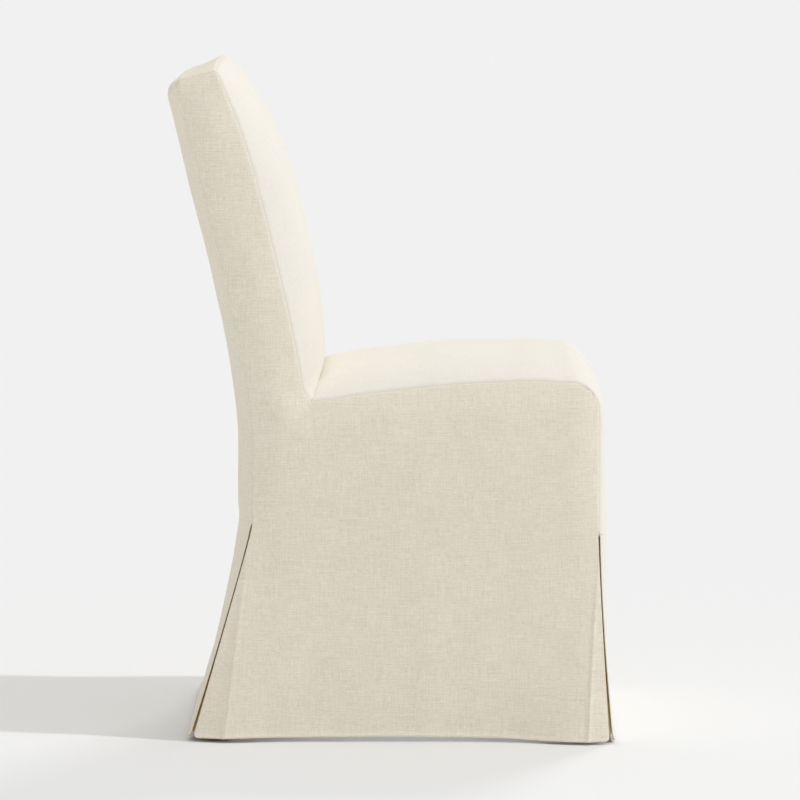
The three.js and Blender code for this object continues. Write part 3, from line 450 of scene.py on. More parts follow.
def cloth(name, patches, kind, lift):
    """A sheet from patches of (points, inward directions, thread coordinates, outward side).

    kind gives for border points the share that is sewn, the seam's depth and the length of its roll,
    and lift how far the cloth stands out, from points, threads and distance from the border.
    """
    level, inward, threads, faces = merged(patches)
    points = level + np.outer(hem_rise(level), (0, 0, 1))
    edges = border_edges(faces)
    border = np.unique(np.array(edges))
    sewn, depth, roll = kind(points[border])
    tree = KDTree(len(border))
    for i, k in enumerate(border):
        tree.insert(points[k], i)
    tree.balance()
    found = [tree.find(p) for p in points]
    nearest = np.array([f[1] for f in found])
    distance = np.array([f[2] for f in found])
    rolled = 1 - np.sqrt(1 - (1 - clamp(distance / roll[nearest])) ** 2)
    folded = 1 - np.sqrt(1 - (1 - clamp(distance / FOLD)) ** 2)
    sunk = mix(FOLD * folded, depth[nearest] * rolled, sewn[nearest]) - lift(level, threads, distance)
    base = points
    points = points + inward * sunk[:, None]
    COVERS.append((points + (0, DEPTH_SHIFT, 0), faces))

    # Behind the border the cloth goes on as a seam's allowance or a hem's turned-in part
    place = {int(k): i for i, k in enumerate(border)}
    tangent = np.zeros((len(border), 3))
    for a, b in edges:
        step = base[b] - base[a]
        tangent[place[a]] += step
        tangent[place[b]] += step
    inside = unit(np.cross(inward[border], tangent))
    middle = np.zeros((len(border), 3))
    for quad in faces:
        for k in quad:
            if int(k) in place:
                middle[place[int(k)]] += base[quad].mean(0) - base[k]
    inside *= np.sign((inside * middle).sum(1, keepdims=True))
    rings = [border]
    count = len(points)
    for seam_down, seam_in, fold_down, fold_in in TURNED_IN:
        down = mix(fold_down, SEAM_DEPTH * seam_down, sewn)[:, None]
        across = mix(fold_in, seam_in, sewn)[:, None]
        points = np.concatenate([points, points[border] + inward[border] * down + inside * across])
        threads = np.concatenate([threads, threads[border] + TURNED_THREADS])
        rings.append(np.arange(count, count + len(border)))
        count += len(border)
    turned = []
    for a, b in edges:
        i, j = place[a], place[b]
        for ring, after in zip(rings, rings[1:]):
            turned.append((ring[j], ring[i], after[i], after[j]))
    faces = np.concatenate([faces, np.array(turned)])

    # The sheet's inner face and the wall along its edge close it
    inner = points - point_normals(points, faces) * CLOTH
    walls = [(b, a, a + count, b + count) for a, b in border_edges(faces)]
    faces = np.concatenate([faces, faces[:, ::-1] + count, np.array(walls)])
    points = np.concatenate([points, inner])
    threads = np.concatenate([threads, threads])
    points[:, 1] += DEPTH_SHIFT
    # Distance from the nearest seam, which sets the seam's line of painted shade, pushed out where that line
    # is left out
    hidden = SEAM_SHADE_WIDTH * seam_hidden(base[border])
    seam = mix(UNSEWN, distance, sewn[nearest]) + hidden[nearest]
    rest = np.concatenate([mix(UNSEWN, 0.0, sewn) + hidden] * (len(rings) - 1))
    return piece_of(name, points, faces, threads, np.tile(np.concatenate([seam, rest]), 2))


def in_scene(name, data):
    made = bpy.data.objects.new(name, data)
    bpy.context.scene.collection.objects.link(made)
    return made


def piece_of(name, points, faces, threads=None, seam=None):
    mesh = bpy.data.meshes.new(name)
    mesh.from_pydata(points.tolist(), [], [tuple(int(k) for k in f) for f in faces])
    if threads is not None:
        corner = np.empty(len(mesh.loops), np.int32)
        mesh.loops.foreach_get("vertex_index", corner)
        layer = mesh.uv_layers.new(name="threads")
        layer.uv.foreach_set("vector", threads[corner].astype(np.float32).ravel())
        mesh.attributes.new("from_seam", "FLOAT", "POINT").data.foreach_set("value", seam.astype(np.float32))
    mesh.shade_smooth()
    mesh.update()
    return in_scene(name, mesh)


# Colours and materials. Real yarns, pores, fibres and flecks are a few tenths of a millimetre wide,
# too fine to show, so each pattern is drawn as coarse as it needs to be: from 1.2 to 12 mm wide. SHARES
# are how strongly warp, weft and their fibres show, or a grain's coarse and fine part.

WEAVE_SHARES = (1.0, 1.15, 0.9, 1.1)
FIBRE_RUN = 6
CLOUD_SIZE = 0.07
CLOUD_SHARE = 0.15
YARN_HEIGHT = 0.0006
GRAIN_SHARES = (1.5, 0.6)
FINER = 5


def linear(code):
    """Linear colour of an sRGB hex value."""
    values = [int(code[i:i + 2], 16) / 255 for i in (1, 3, 5)]
    return (*[v / 12.92 if v <= 0.04045 else ((v + 0.055) / 1.055) ** 2.4 for v in values], 1.0)


def add(tree, kind, inputs=None, **settings):
    """One shader node with its settings. inputs gives sockets a value or another node's output."""
    made = tree.nodes.new("ShaderNode" + kind)
    for name, value in settings.items():
        setattr(made, name, value)
    for socket, value in (inputs or {}).items():
        if isinstance(value, bpy.types.NodeSocket):
            tree.links.new(value, made.inputs[socket])
        else:
            made.inputs[socket].default_value = value
    return made


def new_material(name):
    material = bpy.data.materials.new(name)
    material.use_nodes = True
    material.node_tree.nodes.clear()
    return material, material.node_tree


def noise_over(tree, vector, size, detail=2.0, roughness=0.5):
    """A noise whose features have the given sizes in metres along each thread direction."""
    scaled = add(tree, "VectorMath", {0: vector, 1: [1 / s for s in size]}, operation="MULTIPLY")
    return add(
        tree, "TexNoise",
        {"Vector": scaled.outputs["Vector"], "Scale": 1.0, "Detail": detail, "Roughness": roughness},
    ).outputs["Fac"]


def weighted(tree, terms, start):
    """start plus each term's distance from one half times its weight."""
    total = start
    for value, weight in terms:
        total = add(tree, "Math", {0: value, 1: weight, 2: total}, operation="MULTIPLY_ADD").outputs[0]
    return total


def woven(name, dark, light, thread, slub, contrast, bump, sheen):
    """A plain weave. thread is a yarn's drawn width, slub the width and length of its thick places."""
    material, tree = new_material(name)
    place = add(tree, "UVMap", uv_map="threads").outputs["UV"]
    warp = noise_over(tree, place, (slub[0], slub[1], 1))
    weft = noise_over(tree, place, (slub[1], slub[0], 1))
    fine_warp = noise_over(tree, place, (thread, thread * FIBRE_RUN, 1), detail=1.0)
    fine_weft = noise_over(tree, place, (thread * FIBRE_RUN, thread, 1), detail=1.0)
    cloud = noise_over(tree, place, (CLOUD_SIZE, CLOUD_SIZE, 1), detail=1.0)
    yarns = (warp, weft, fine_warp, fine_weft)
    weights = [(yarn, contrast * share) for yarn, share in zip(yarns, WEAVE_SHARES)]
    weights.append((cloud, CLOUD_SHARE))
    start = 0.5 - 0.5 * sum(w for _, w in weights)
    shade = weighted(tree, weights, start)
    colour = add(
        tree, "Mix", {"Factor": shade, "A": linear(dark), "B": linear(light)},
        data_type="RGBA", clamp_factor=True,
    ).outputs["Result"]
    # Painted shade along the seams: the cloth turns darker in a line a millimetre or two wide as it goes into
    # a seam
    from_seam = add(tree, "Attribute", attribute_name="from_seam").outputs["Fac"]
    open_cloth = add(
        tree, "MapRange", {"Value": from_seam, "From Max": SEAM_SHADE_WIDTH}, interpolation_type="SMOOTHSTEP",
    ).outputs["Result"]
    colour = add(
        tree, "Mix", {"Factor": open_cloth, "A": linear(SEAM_SHADE_COLOUR), "B": colour}, data_type="RGBA",
    ).outputs["Result"]
    height = weighted(tree, [(yarn, 0.5) for yarn in yarns], 0.0)
    raised = add(tree, "Bump", {"Strength": bump, "Distance": YARN_HEIGHT, "Height": height})
    shader = add(tree, "BsdfPrincipled", {
        "Base Color": colour, "Roughness": 0.92, "Normal": raised.outputs["Normal"],
        "Sheen Weight": sheen, "Sheen Roughness": 0.45, "Specular IOR Level": 0.25,
    })
    add(tree, "OutputMaterial", {"Surface": shader.outputs["BSDF"]})
    return material


def grained(name, dark, light, size, roughness, bump=0.2, distance=0.0003, metallic=0.0):
    """A flecked material. size is a fleck's, the same all round or along x, y and z."""
    material, tree = new_material(name)
    place = add(tree, "TexCoord").outputs["Object"]
    size = np.broadcast_to(size, 3).tolist()
    coarse = noise_over(tree, place, size, detail=4.0, roughness=0.6)
    fine = noise_over(tree, place, [s / FINER for s in size])
    shade = weighted(tree, list(zip((coarse, fine), GRAIN_SHARES)), 0.5 - 0.5 * sum(GRAIN_SHARES))
    colour = add(
        tree, "Mix", {"Factor": shade, "A": linear(dark), "B": linear(light)},
        data_type="RGBA", clamp_factor=True,
    ).outputs["Result"]
    raised = add(tree, "Bump", {"Strength": bump, "Distance": distance, "Height": shade})
    shader = add(tree, "BsdfPrincipled", {
        "Base Color": colour, "Roughness": roughness, "Metallic": metallic,
        "Normal": raised.outputs["Normal"],
    })
    add(tree, "OutputMaterial", {"Surface": shader.outputs["BSDF"]})
    return material


# Linen-weave cover cloth: uneven yarns give short thick places in both thread directions. Real yarns
# are 0.7 mm apart, and are drawn 1.4 mm wide.
linen = woven(
    "linen_weave_cover", "#dcd3bf", "#fdf5e5",
    thread=0.0014, slub=(0.0018, 0.040), contrast=0.58, bump=0.5, sheen=0.12,
)
# The same cloth, lighter and whiter, on the seat, its front and the inside back: painted light for the faces
# that catch the most light. Its yarns show less.
lit_linen = woven(
    "linen_weave_cover_painted_lit", "#e3ddd1", "#f9f5ea",
    thread=0.0014, slub=(0.0018, 0.040), contrast=0.34, bump=0.25, sheen=0.20,
)
# Lining of the pleats: cotton with more even yarns. Its tan, darker and browner than the cover, is painted
# shade for the narrow slits in front of it.
lining = woven(
    "cotton_lining_weave_painted_shade", "#c0a068", "#dcc08e",
    thread=0.0012, slub=(0.0018, 0.020), contrast=0.35, bump=0.25, sheen=0.08,
)
# Jute webbing for the back: dark brown tape of twisted yarns, with ribs across its width
tape = grained("jute_webbing_ribbed", "#3f372e", "#6b5f4f", (0.004, 0.002, 0.0015), roughness=0.9, bump=0.8)
# Non-woven dust cloth: a matte black felted sheet of short fibres
dust_cloth = grained("non_woven_cambric", "#232323", "#3a3a3a", 0.002, roughness=0.95, bump=0.5)
# Polyurethane foam, cut from a block: fine open pores, a little yellow
foam = grained("polyurethane_foam_cut", "#e0d6ae", "#f2ecce", 0.002, roughness=0.95, bump=0.8)
# Polyester fibre wadding: white, soft and cloudy
wadding = grained(
    "polyester_wadding", "#e6e5e0", "#f9f8f5", (0.012, 0.012, 0.006), roughness=1.0, bump=0.8, distance=0.001,
)
# Needled felt over the springs: grey flecked fibres
needle_felt = grained("needled_felt", "#77726a", "#a39e94", 0.004, roughness=1.0, bump=0.7)
# Beech, sawn and planed: pale pinkish brown with short darker flecks along the grain
beech_up, beech_across, beech_along = (
    grained(f"beech_planed_{way}", "#b48a5f", "#d6b48a", size, roughness=0.55) for way, size in (
        ("upright", (0.006, 0.006, 0.050)),
        ("across", (0.050, 0.006, 0.006)),
        ("along", (0.006, 0.050, 0.006)),
    )
)
# Spring steel wire, oil tempered: dark and satin
spring_wire = grained(
    "spring_steel_wire", "#6d6f72", "#8d8f92", 0.003, roughness=0.38, bump=0.1, metallic=1.0,
)
# Zinc-plated steel screws and clips: bright and slightly yellow
zinc = grained("zinc_plated_steel", "#b7b5aa", "#d6d4c8", 0.004, roughness=0.32, bump=0.1, metallic=1.0)
# Moulded nylon glides: dark, with a fine moulded texture
nylon = grained("nylon_moulded", "#2d2a27", "#423d38", 0.003, roughness=0.45, bump=0.3)


# Slipcover panels. A strip panel has rows of points that run across the chair, and each row's ends are
# in the side seams or at the slits.

def row_normals(y, z, into):
    """Unit directions into the chair, square to a profile line in the y, z plane."""
    dy, dz = np.gradient(y), np.gradient(z)
    normal = path(-dz, dy) / np.hypot(dy, dz)[:, None]
    return normal * np.sign((normal * np.asarray(into)).sum(1, keepdims=True))


def seam_share(z, slit):
    """1 where a panel's side edge is sewn, 0 where it is a free folded edge beside a slit."""
    return smooth((z - slit + SEAM_FADE) / SEAM_FADE)


right_half = HALF - steps(HALF, True, False)
COLUMNS = np.concatenate([-right_half[:-1], right_half[::-1]])
CROWN = crown_at(COLUMNS)


def seat_top(y):
    return seat_seam(y) + (SEAT_CROWN + through(y, SEAT_FULLER)) * CROWN


def crevice_line():
    """The line across the chair in which the seat meets the inside back."""
    y = np.full(CROWN.shape, CREVICE_Y)
    for _ in range(FIT_ROUNDS):
        z = seat_top(y)
        y = back_front_seam(z) - CREVICE_DIP * (1 - CROWN) - CREVICE_CROWN * CROWN
    return y, z


crevice_y, crevice_z = crevice_line()


def strip(rows, profile, into, outward, crevice=False):
    """A strip panel's patch, from its rows of x, y and z and its edge's profile of y and z.

    It is narrowed by the seam's depth where it is sewn. A crevice is at its first row.
    """
    x, y, z = (np.array([row[i] for row in rows]) for i in range(3))
    edge_y, edge_z = np.array(profile).T
    edge = mix(FREE_EDGE, HALF - SEAM_DEPTH, seam_share(edge_z, np.where(edge_y > 0, REAR_SLIT, SLIT)))
    x = x * edge[:, None] / HALF
    normals = row_normals(edge_y, edge_z, into)
    run = np.concatenate([[0], np.cumsum(np.hypot(np.diff(edge_y), np.diff(edge_z)))])
    if crevice:
        normals = mix(normals, np.array([1.0, -1.0]), clamp(1 - run / CREVICE_ROLL)[:, None])
    points = np.stack([x, y, z], -1)
    inward = np.zeros_like(points)
    inward[..., 1:] = normals[:, None, :]
    threads = path(x, np.broadcast_to(run[:, None], x.shape))
    return points, inward, threads, np.array(outward, float)


def seat_and_front():
    seat = steps(CREVICE_Y - ARC_Y, True, False)
    rows, profile = [], []
    for share in seat / seat[-1]:
        y = mix(crevice_y, ARC_Y, share)
        rows.append((COLUMNS, y, seat_top(y)))
        edge_y = mix(CREVICE_Y, ARC_Y, share)
        profile.append((edge_y, seat_seam(edge_y)))
    for share in np.arange(1, SEAT_ARC_ROWS) / SEAT_ARC_ROWS:
        turn = share * math.pi / 2
        reach = SEAT_ARC + (mix(SEAT_CROWN, FRONT_CROWN, share) - through(share, NOSE_EASED)) * CROWN
        rows.append((COLUMNS, ARC_Y - reach * math.sin(turn), ARC_Z + reach * math.cos(turn)))
        profile.append((ARC_Y - SEAT_ARC * math.sin(turn), ARC_Z + SEAT_ARC * math.cos(turn)))
    for z in ARC_Z - steps(ARC_Z - HEM_BOTTOM, False, True):
        flare = 1 + FRONT_EDGE_FLARE * skirt_fall(z) ** SKIRT_CURVE / PANEL_EDGE
        rows.append((COLUMNS * flare, front_edge(z) - front_crown(z) * CROWN, np.full(CROWN.shape, z)))
        profile.append((front_edge(z), z))
    return strip(rows, profile, (1, -1), (0, -1, 1), True)


def inside_back():
    top = BACK_HEIGHT - SEAM_DEPTH
    rise = steps(top - CREVICE_HEIGHT, True, True)
    low = rise[rise < top - CREVICE_HEIGHT - CROWN_ROLL]
    turns = np.linspace(0, math.pi / 2, BACK_ROLL_ROWS)[1:]
    high = top - CREVICE_HEIGHT - CROWN_ROLL + CROWN_ROLL * np.sin(turns)
    rows, profile = [], []
    for share in np.concatenate([low, high]) / (top - CREVICE_HEIGHT):
        z = mix(crevice_z, top + TOP_CROWN * CROWN, share)
        edge_z = mix(CREVICE_HEIGHT, top, share)
        rise_share = clamp((z - crevice_z) / CROWN_RISE)
        roll = clamp((edge_z - top + CROWN_ROLL) / CROWN_ROLL)
        crown = mix(CREVICE_CROWN, BACK_CROWN, np.sin(rise_share * math.pi / 2))
        crown = crown * math.sqrt(max(0, 1 - roll ** 2))
        tucked = crevice_tuck(z - crevice_z) * (1 - CROWN)
        rows.append((COLUMNS, back_front_seam(z) - CREVICE_DIP * tucked - crown * CROWN, z))
        profile.append((tucked_seam(edge_z), edge_z))
    return strip(rows, profile, (1, 0), (0, -1, 0), True)


def rear_narrowing(z):
    """Width of the outside back, as a share of its width above the skirt."""
    return 1 - REAR_TURN_IN * skirt_fall(z) ** SKIRT_CURVE / PANEL_EDGE


def outside_back():
    rows, profile = [], []
    start = TOP_Y + SEAM_DEPTH
    end = float(cap_arc(0.0)[0])
    for y in start + steps(end - start, True, False):
        crown = through(y, ((TOP_Y, end), (TOP_CROWN, 0.0))) * CROWN
        rows.append((COLUMNS, np.full(CROWN.shape, y), cap_height(y) + crown))
        profile.append((y, cap_height(y)))
    # In the middle the cloth turns over the top in one wide round, level with the seam at its start
    wide = TOP_ARC + REAR_TOP_CROWN
    for share in np.arange(1, TOP_ARC_ROWS) / TOP_ARC_ROWS:
        point = cap_arc(share)
        normal = (point - ARC_CENTRE) / TOP_ARC
        low = REAR_TOP_CROWN * math.cos(share * math.pi / 2)
        crown = (math.sqrt(low ** 2 + wide ** 2 - REAR_TOP_CROWN ** 2) - low - TOP_ARC) * CROWN
        rows.append((COLUMNS, point[0] + normal[0] * crown, point[1] + normal[1] * crown))
        profile.append(point)
    top = float(cap_arc(1.0)[1])
    for z in top - steps(top - HEM_BOTTOM, False, True):
        above = max(0.0, REAR_TOP_CROWN - (top - z))
        crown = (rear_crown(z) - wide + math.sqrt(wide ** 2 - above ** 2)) * CROWN
        rows.append((COLUMNS * rear_narrowing(z), back_edge(z) + crown, np.full(CROWN.shape, z)))
        profile.append((back_edge(z), z))
    return strip(rows, profile, (-1, -1), (0, 1, 0.2))


def side_patches(side):
    """The L-shaped side panel in three patches: seat side, below the back, and back side."""
    s = SEAM_DEPTH
    corner = np.array([CREVICE_Y + s, CREVICE_HEIGHT - s])
    levels = steps(corner[1] - HEM_BOTTOM, True, True)
    v = levels / levels[-1]
    heights = HEM_BOTTOM + levels

    def seat_arc(turn):
        radius = SEAT_ARC - s
        return path(ARC_Y - radius * np.cos(turn), ARC_Z + radius * np.sin(turn))

    def set_back(z, gap, slit):
        """How far the panel's edge lies back from the corner: a seam's depth or the open slit."""
        return mix(mix(*gap, skirt_fall(z)), s, seam_share(z, slit))

    def rounded(distance):
        inset = HEM_CORNER - np.minimum(distance, HEM_CORNER)
        return HEM_BOTTOM + HEM_CORNER - np.sqrt(HEM_CORNER ** 2 - inset ** 2)

    # Border lines
    low_z = mix(HEM_BOTTOM + HEM_CORNER, ARC_Z, clamp(v / FRONT_ARC_START))
    front = path(side_front_edge(low_z) + set_back(low_z, FRONT_GAP, SLIT), low_z)
    on_arc = v > FRONT_ARC_START
    front[on_arc] = seat_arc((v[on_arc] - FRONT_ARC_START) / (1 - FRONT_ARC_START) * math.pi / 4)
    crevice = path(np.full(v.shape, corner[0]), heights)
    rear_z = mix(HEM_BOTTOM + HEM_CORNER, corner[1], v)
    rear = path(rear_seam(rear_z) - set_back(rear_z, REAR_GAP, REAR_SLIT), rear_z)

    fine = steps(CREASE_REACH, True, False, CREASE_STEP)
    coarse = CREASE_REACH + steps(corner[0] + SEAT_FRONT - CREASE_REACH, False, False)
    depth = np.concatenate([fine, coarse[1:]])
    u = depth / depth[-1]
    top_y = mix(ARC_Y, corner[0], clamp((u - SEAT_ARC_PART) / (1 - SEAT_ARC_PART)))
    top = path(top_y, seat_seam(top_y - s) - s)
    top[-1] = corner
    on_arc = u < SEAT_ARC_PART
    top[on_arc] = seat_arc(math.pi / 4 * (1 + u[on_arc] / SEAT_ARC_PART))
    top[0] = front[-1]
    hem = path(mix(front[0, 0], crevice[0, 0], u), rounded(depth))
    seat_side = coons(front, crevice, hem, top, u, v)

    width = steps(BACK_DEPTH, True, True, CREASE_STEP)
    w = width / width[-1]
    rear_reach = rear[0, 0] - crevice[0, 0]
    rear_hem = path(crevice[0, 0] + rear_reach * w, rounded(rear_reach * (1 - w)))
    waist = path(mix(crevice[-1, 0], rear[-1, 0], w), np.full(w.shape, corner[1]))
    below_back = coons(crevice, rear, rear_hem, waist, w, v)

    front_top = np.array([TOP_Y, BACK_HEIGHT]) + s * (ALONG_CAP - UP_CAP)
    rise = steps(front_top[1] - corner[1], False, True)
    t = rise / rise[-1]
    left_z = mix(corner[1], front_top[1], t)
    left = path(tucked_seam(left_z) + s * LEAN_STRETCH, left_z)
    left[0], left[-1] = corner, front_top
    half_arc = cap_arc(np.linspace(0.5, 1, ARC_POINTS), TOP_ARC - s)
    right_z = mix(corner[1], half_arc[0, 1], t)
    right = path(rear_seam(right_z) - s * LEAN_STRETCH, right_z)
    right[0] = waist[-1]
    on_arc = right_z > half_arc[-1, 1]
    right[on_arc, 0] = np.interp(right_z[on_arc], half_arc[::-1, 1], half_arc[::-1, 0])
    first_half = cap_arc(np.linspace(0, 0.5, ARC_POINTS), TOP_ARC - s)
    cap_y = mix(front_top[0], half_arc[0, 0], w)
    line = np.concatenate([[front_top], first_half])
    cap = path(cap_y, np.interp(cap_y, line[:, 0], line[:, 1]))
    right[-1] = cap[-1]
    back_side = coons(left, right, waist, cap, w, t)

    made = []
    for patch in (seat_side, below_back, back_side):
        y, z = patch[..., 0], patch[..., 1]
        points = np.stack([side * side_panel_x(y, z), y, z], -1)
        inward = np.broadcast_to(np.array([-side, 0.0, 0.0]), points.shape).copy()
        made.append((points, inward, path(y, z), np.array([side, 0.0, 0.0])))
    return made


def sewn_or_free(points):
    """For cloth(): an edge is a seam, or a free fold beside a slit and along the hem."""
    share = seam_share(points[:, 2], np.where(points[:, 1] > 0, REAR_SLIT, SLIT))
    return share, np.full(share.shape, SEAM_DEPTH), np.full(share.shape, SEAM_ROLL)


def with_crevice(points):
    """The same, with a deeper and wider roll for the seam in the crevice."""
    share, depth, roll = sewn_or_free(points)
    x, y, z = points.T
    inner = (y > 0) & (z > CREVICE_SPAN[0]) & (z < CREVICE_SPAN[1])
    inner = inner * smooth((HALF - SEAM_DEPTH - np.abs(x)) / CREVICE_END)
    return share, mix(depth, through(np.abs(x), CREVICE_DEPTHS), inner), mix(roll, CREVICE_ROLL, inner)


def hem_lift(z):
    """The double cloth of a hem stands out a little and its lower edge is a soft round."""
    double = smooth((HEM_BOTTOM + HEM_WIDTH + HEM_STEP / 2 - z) / HEM_STEP)
    bead = np.exp(-(((z - HEM_BOTTOM - BEAD_HEIGHT) / BEAD_WIDTH) ** 2))
    return HEM_LIFT * double + HEM_BEAD * bead


def hem_rise(points):
    """The hem is not quite level: a little higher along the middle of the sides than in front."""
    _, y, z = points.T
    return through(y, HEM_RISE) * (1 - smooth((z - HEM_BOTTOM) / HEM_RISE_ENDS))


def roundness(distance):
    """Share of a panel's fullness at a distance from a seam, which rises steeply from it."""
    return 1 - (1 - clamp(distance / PILLOW_REACH)) ** 2


def filled_out(y, z):
    """Share of its fullness that a side panel has inside its seams, from 0 at each of them."""
    from_back = np.maximum(0, y - tucked_seam(np.maximum(z, CREVICE_HEIGHT)))
    from_seat = np.maximum(0, seat_seam(np.minimum(y, CREVICE_Y)) - z)
    share = roundness(np.hypot(from_back, from_seat)) * roundness(rear_seam(z) - y)
    below, length = BACK_PILLOW_START
    share = share * mix(1, BACK_PILLOW_SHARE, smooth((z - CREVICE_HEIGHT + below) / length))
    return share * roundness(y - side_front_edge(z)) * roundness(cap_height(y) - z)


def relief(seed, broad, skirt, pillow=0.0):
    """A loose cover's waves, its hem, and how far its wadding fills it out between its seams."""
    def lift(points, threads, distance):
        a, b = threads[:, 0], threads[:, 1]
        quiet = clamp((distance - QUIET_EDGE[0]) / QUIET_EDGE[1])
        near = np.exp(-distance / PUCKER_REACH) * clamp(distance / PUCKER_START)
        fall = skirt_fall(points[:, 2])
        total = broad * quiet * swell(a, b, BROAD_WAVE, seed)
        total += LESSER_SHARE * broad * quiet * swell(a, b, LESSER_WAVE, seed + 1)
        total += PUCKER * near * swell(a, b, PUCKER_WAVE, seed + 2)
        total += skirt * fall * quiet * swell(a, FLUTE_DRAWN * b, FLUTE_WAVE, seed + 3)
        _, y, z = points.T
        filled = np.minimum(filled_out(y, z), roundness(distance))
        filled = filled * smooth((z - SLIT + PILLOW_FADE[0]) / PILLOW_FADE[1])
        return total + pillow * filled + hem_lift(z)
    return lift


seat_front_panel = cloth(
    "cover_seat_and_front", [seat_and_front()], with_crevice,
    relief(seed=11, broad=0.0007, skirt=0.0010),
)
inside_back_panel = cloth(
    "cover_inside_back", [inside_back()], with_crevice,
    relief(seed=21, broad=0.0008, skirt=0.0),
)
outside_back_panel = cloth(
    "cover_outside_back", [outside_back()], sewn_or_free,
    relief(seed=31, broad=0.0009, skirt=0.0012),
)
side_panels = {
    name: cloth(
        f"cover_side_{name}", side_patches(side), sewn_or_free,
        relief(seed=seed, broad=0.0009, skirt=0.0010, pillow=PILLOW),
    )
    for name, side, seed in (("left", 1, 41), ("right", -1, 51))
}


# Pleat underlays: one sheet round each corner behind the slit, straight down from its sewn-in top


def underlay(side, rear):
    side_line, panel_line, toward = (rear_seam, back_edge, -1) if rear else (side_front_edge, front_edge, 1)
    levels = LINING_TOP - steps(LINING_TOP - LINING_HEM, True, True, LINING_STEP)
    along_side = LINING_REACH - steps(LINING_REACH, True, False, LINING_STEP)
    across = steps(LINING_REACH, False, True, LINING_STEP)
    keep = along_side > LINING_STEP
    rows, directions, threads = [], [], []
    for z in levels:
        edge = float(side_line(z))
        below, length = LINING_SEWN_IN
        sewn_in = float(clamp((z - LINING_TOP + below) / length))
        inset = mix(LINING_SLACK, LINING_SEWN, sewn_in)
        narrow = float(rear_narrowing(z)) if rear else 1.0
        stand_off = max(0.0, float(side_panel_x(edge, z)) - HALF)
        corner_x = min(HALF, PANEL_EDGE * narrow) + LINING_FOLLOWS * stand_off - inset
        corner_x = max(corner_x, LEG_FACE + CORNER_ROOM)
        corner_y = float(panel_line(z)) + toward * LINING_SEWN
        y_side = edge + toward * along_side
        stand_off = np.maximum(0, side_panel_x(y_side, z) - HALF)
        x_side = np.maximum(HALF + LINING_FOLLOWS * stand_off - inset, LEG_FACE + LEG_ROOM)
        x_front = corner_x - across
        crown = (rear_crown(z) if rear else -front_crown(z)) * crown_at(x_front)
        row = list(zip(x_side[keep], y_side[keep]))
        row += [(corner_x, corner_y)] + [(x, corner_y + c) for x, c in zip(x_front[1:], crown[1:])]
        rows.append([(side * x, y, z) for x, y in row])
        facing = [(-side, 0, 0)] * int(keep.sum()) + [(-side * CORNER_FACING, toward * CORNER_FACING, 0)]
        directions.append(facing + [(0, toward, 0)] * (len(row) - len(facing)))
        run = np.cumsum(np.linalg.norm(np.diff(np.array(row), axis=0), axis=1))
        threads.append([(r, z) for r in (0.0, *run)])
    patch = (np.array(rows), np.array(directions, float), np.array(threads), np.array([side, -toward, 0.0]))
    where = ("rear" if rear else "front") + "_" + ("left" if side > 0 else "right")
    height, wave, reach = LINING_WAVE
    return cloth(
        f"pleat_underlay_{where}", [patch],
        lambda p: (np.zeros(len(p)), *sewn_or_free(p)[1:]),
        lambda p, t, d: height * swell(t[:, 0], t[:, 1], wave, seed=61) * clamp(d / reach),
    )


# Every piece rides on the chair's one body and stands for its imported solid


def placed(made, node, material):
    """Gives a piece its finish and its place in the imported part."""
    made.data.materials.append(material)
    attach(made, "root")
    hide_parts(node)


for made, node, material, flat, held, rests_on, area in (
    (seat_front_panel, "slipcover_seat_front", lit_linen,
     (0.545, 0.980), "stretched", ["seat_foam", "front_batting"], None),
    (inside_back_panel, "slipcover_inside_back", lit_linen,
     (0.530, 0.540), "stretched", ["back_foam"], None),
    (outside_back_panel, "slipcover_outside_back", linen,
     (0.530, 1.090), "stretched", ["outside_back_batting", "top_pad"], None),
    *((side_panels[name], f"slipcover_side_{name}", linen,
       (0.680, 1.000), "hung", [f"side_batting_{name}"], 0.375) for name in ("left", "right")),
):
    placed(made, node, material)

for side, side_name in ((1, "left"), (-1, "right")):
    for rear, end in ((False, "front"), (True, "rear")):
        made = underlay(side, rear)
        placed(made, f"{end}_pleat_underlay_{side_name}", lining)


# Upholstery under the cover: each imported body's own form, rounded and made soft


def copy_of(node, name):
    mesh = nodes[node].data.copy()
    mesh.name = name
    mesh.materials.clear()
    return in_scene(name, mesh)


def apply_modifiers(made):
    graph = bpy.context.evaluated_depsgraph_get()
    mesh = bpy.data.meshes.new_from_object(made.evaluated_get(graph))
    made.modifiers.clear()
    made.data = mesh


def moved(made, shift):
    """Moves the points by shift, a function of their places and normals."""
    mesh = made.data
    points = np.empty(len(mesh.vertices) * 3)
    mesh.vertices.foreach_get("co", points)
    points = points.reshape(-1, 3)
    normals = np.array([v.normal for v in mesh.vertices])
    points = points + shift(points, normals)
    mesh.vertices.foreach_set("co", points.ravel())
    mesh.shade_smooth()
    mesh.update()


def one_tree(surfaces):
    points, faces, start = [], [], 0
    for some, quads in surfaces:
        points += some.tolist()
        faces += (quads + start).tolist()
        start += len(some)
    return BVHTree.FromPolygons(points, faces)


cover_tree = one_tree(COVERS)
UNDER_COVER = 0.0022
CREVICE_ROOM = 0.011
CREVICE_REACH = 0.016
FLUFF_WAVE = 0.030


def under_cover(points, normals):
    """Presses a pad in wherever the cover is tighter than the pad's own form."""
    shift = np.zeros_like(points)
    across = np.abs(points[:, 0])
    behind = points[:, 1] - np.interp(across, COLUMNS, crevice_y)
    above = points[:, 2] - np.interp(across, COLUMNS, crevice_z)
    crevice = np.hypot(behind, above)
    room = UNDER_COVER + CREVICE_ROOM * np.exp(-((crevice / CREVICE_REACH) ** 2))
    for i, point in enumerate(points):
        place, outward, _, _ = cover_tree.find_nearest(point)
        over = (Vector(point) - place).dot(outward) + room[i]
        if over > 0:
            shift[i] = -np.array(outward) * over
    return shift


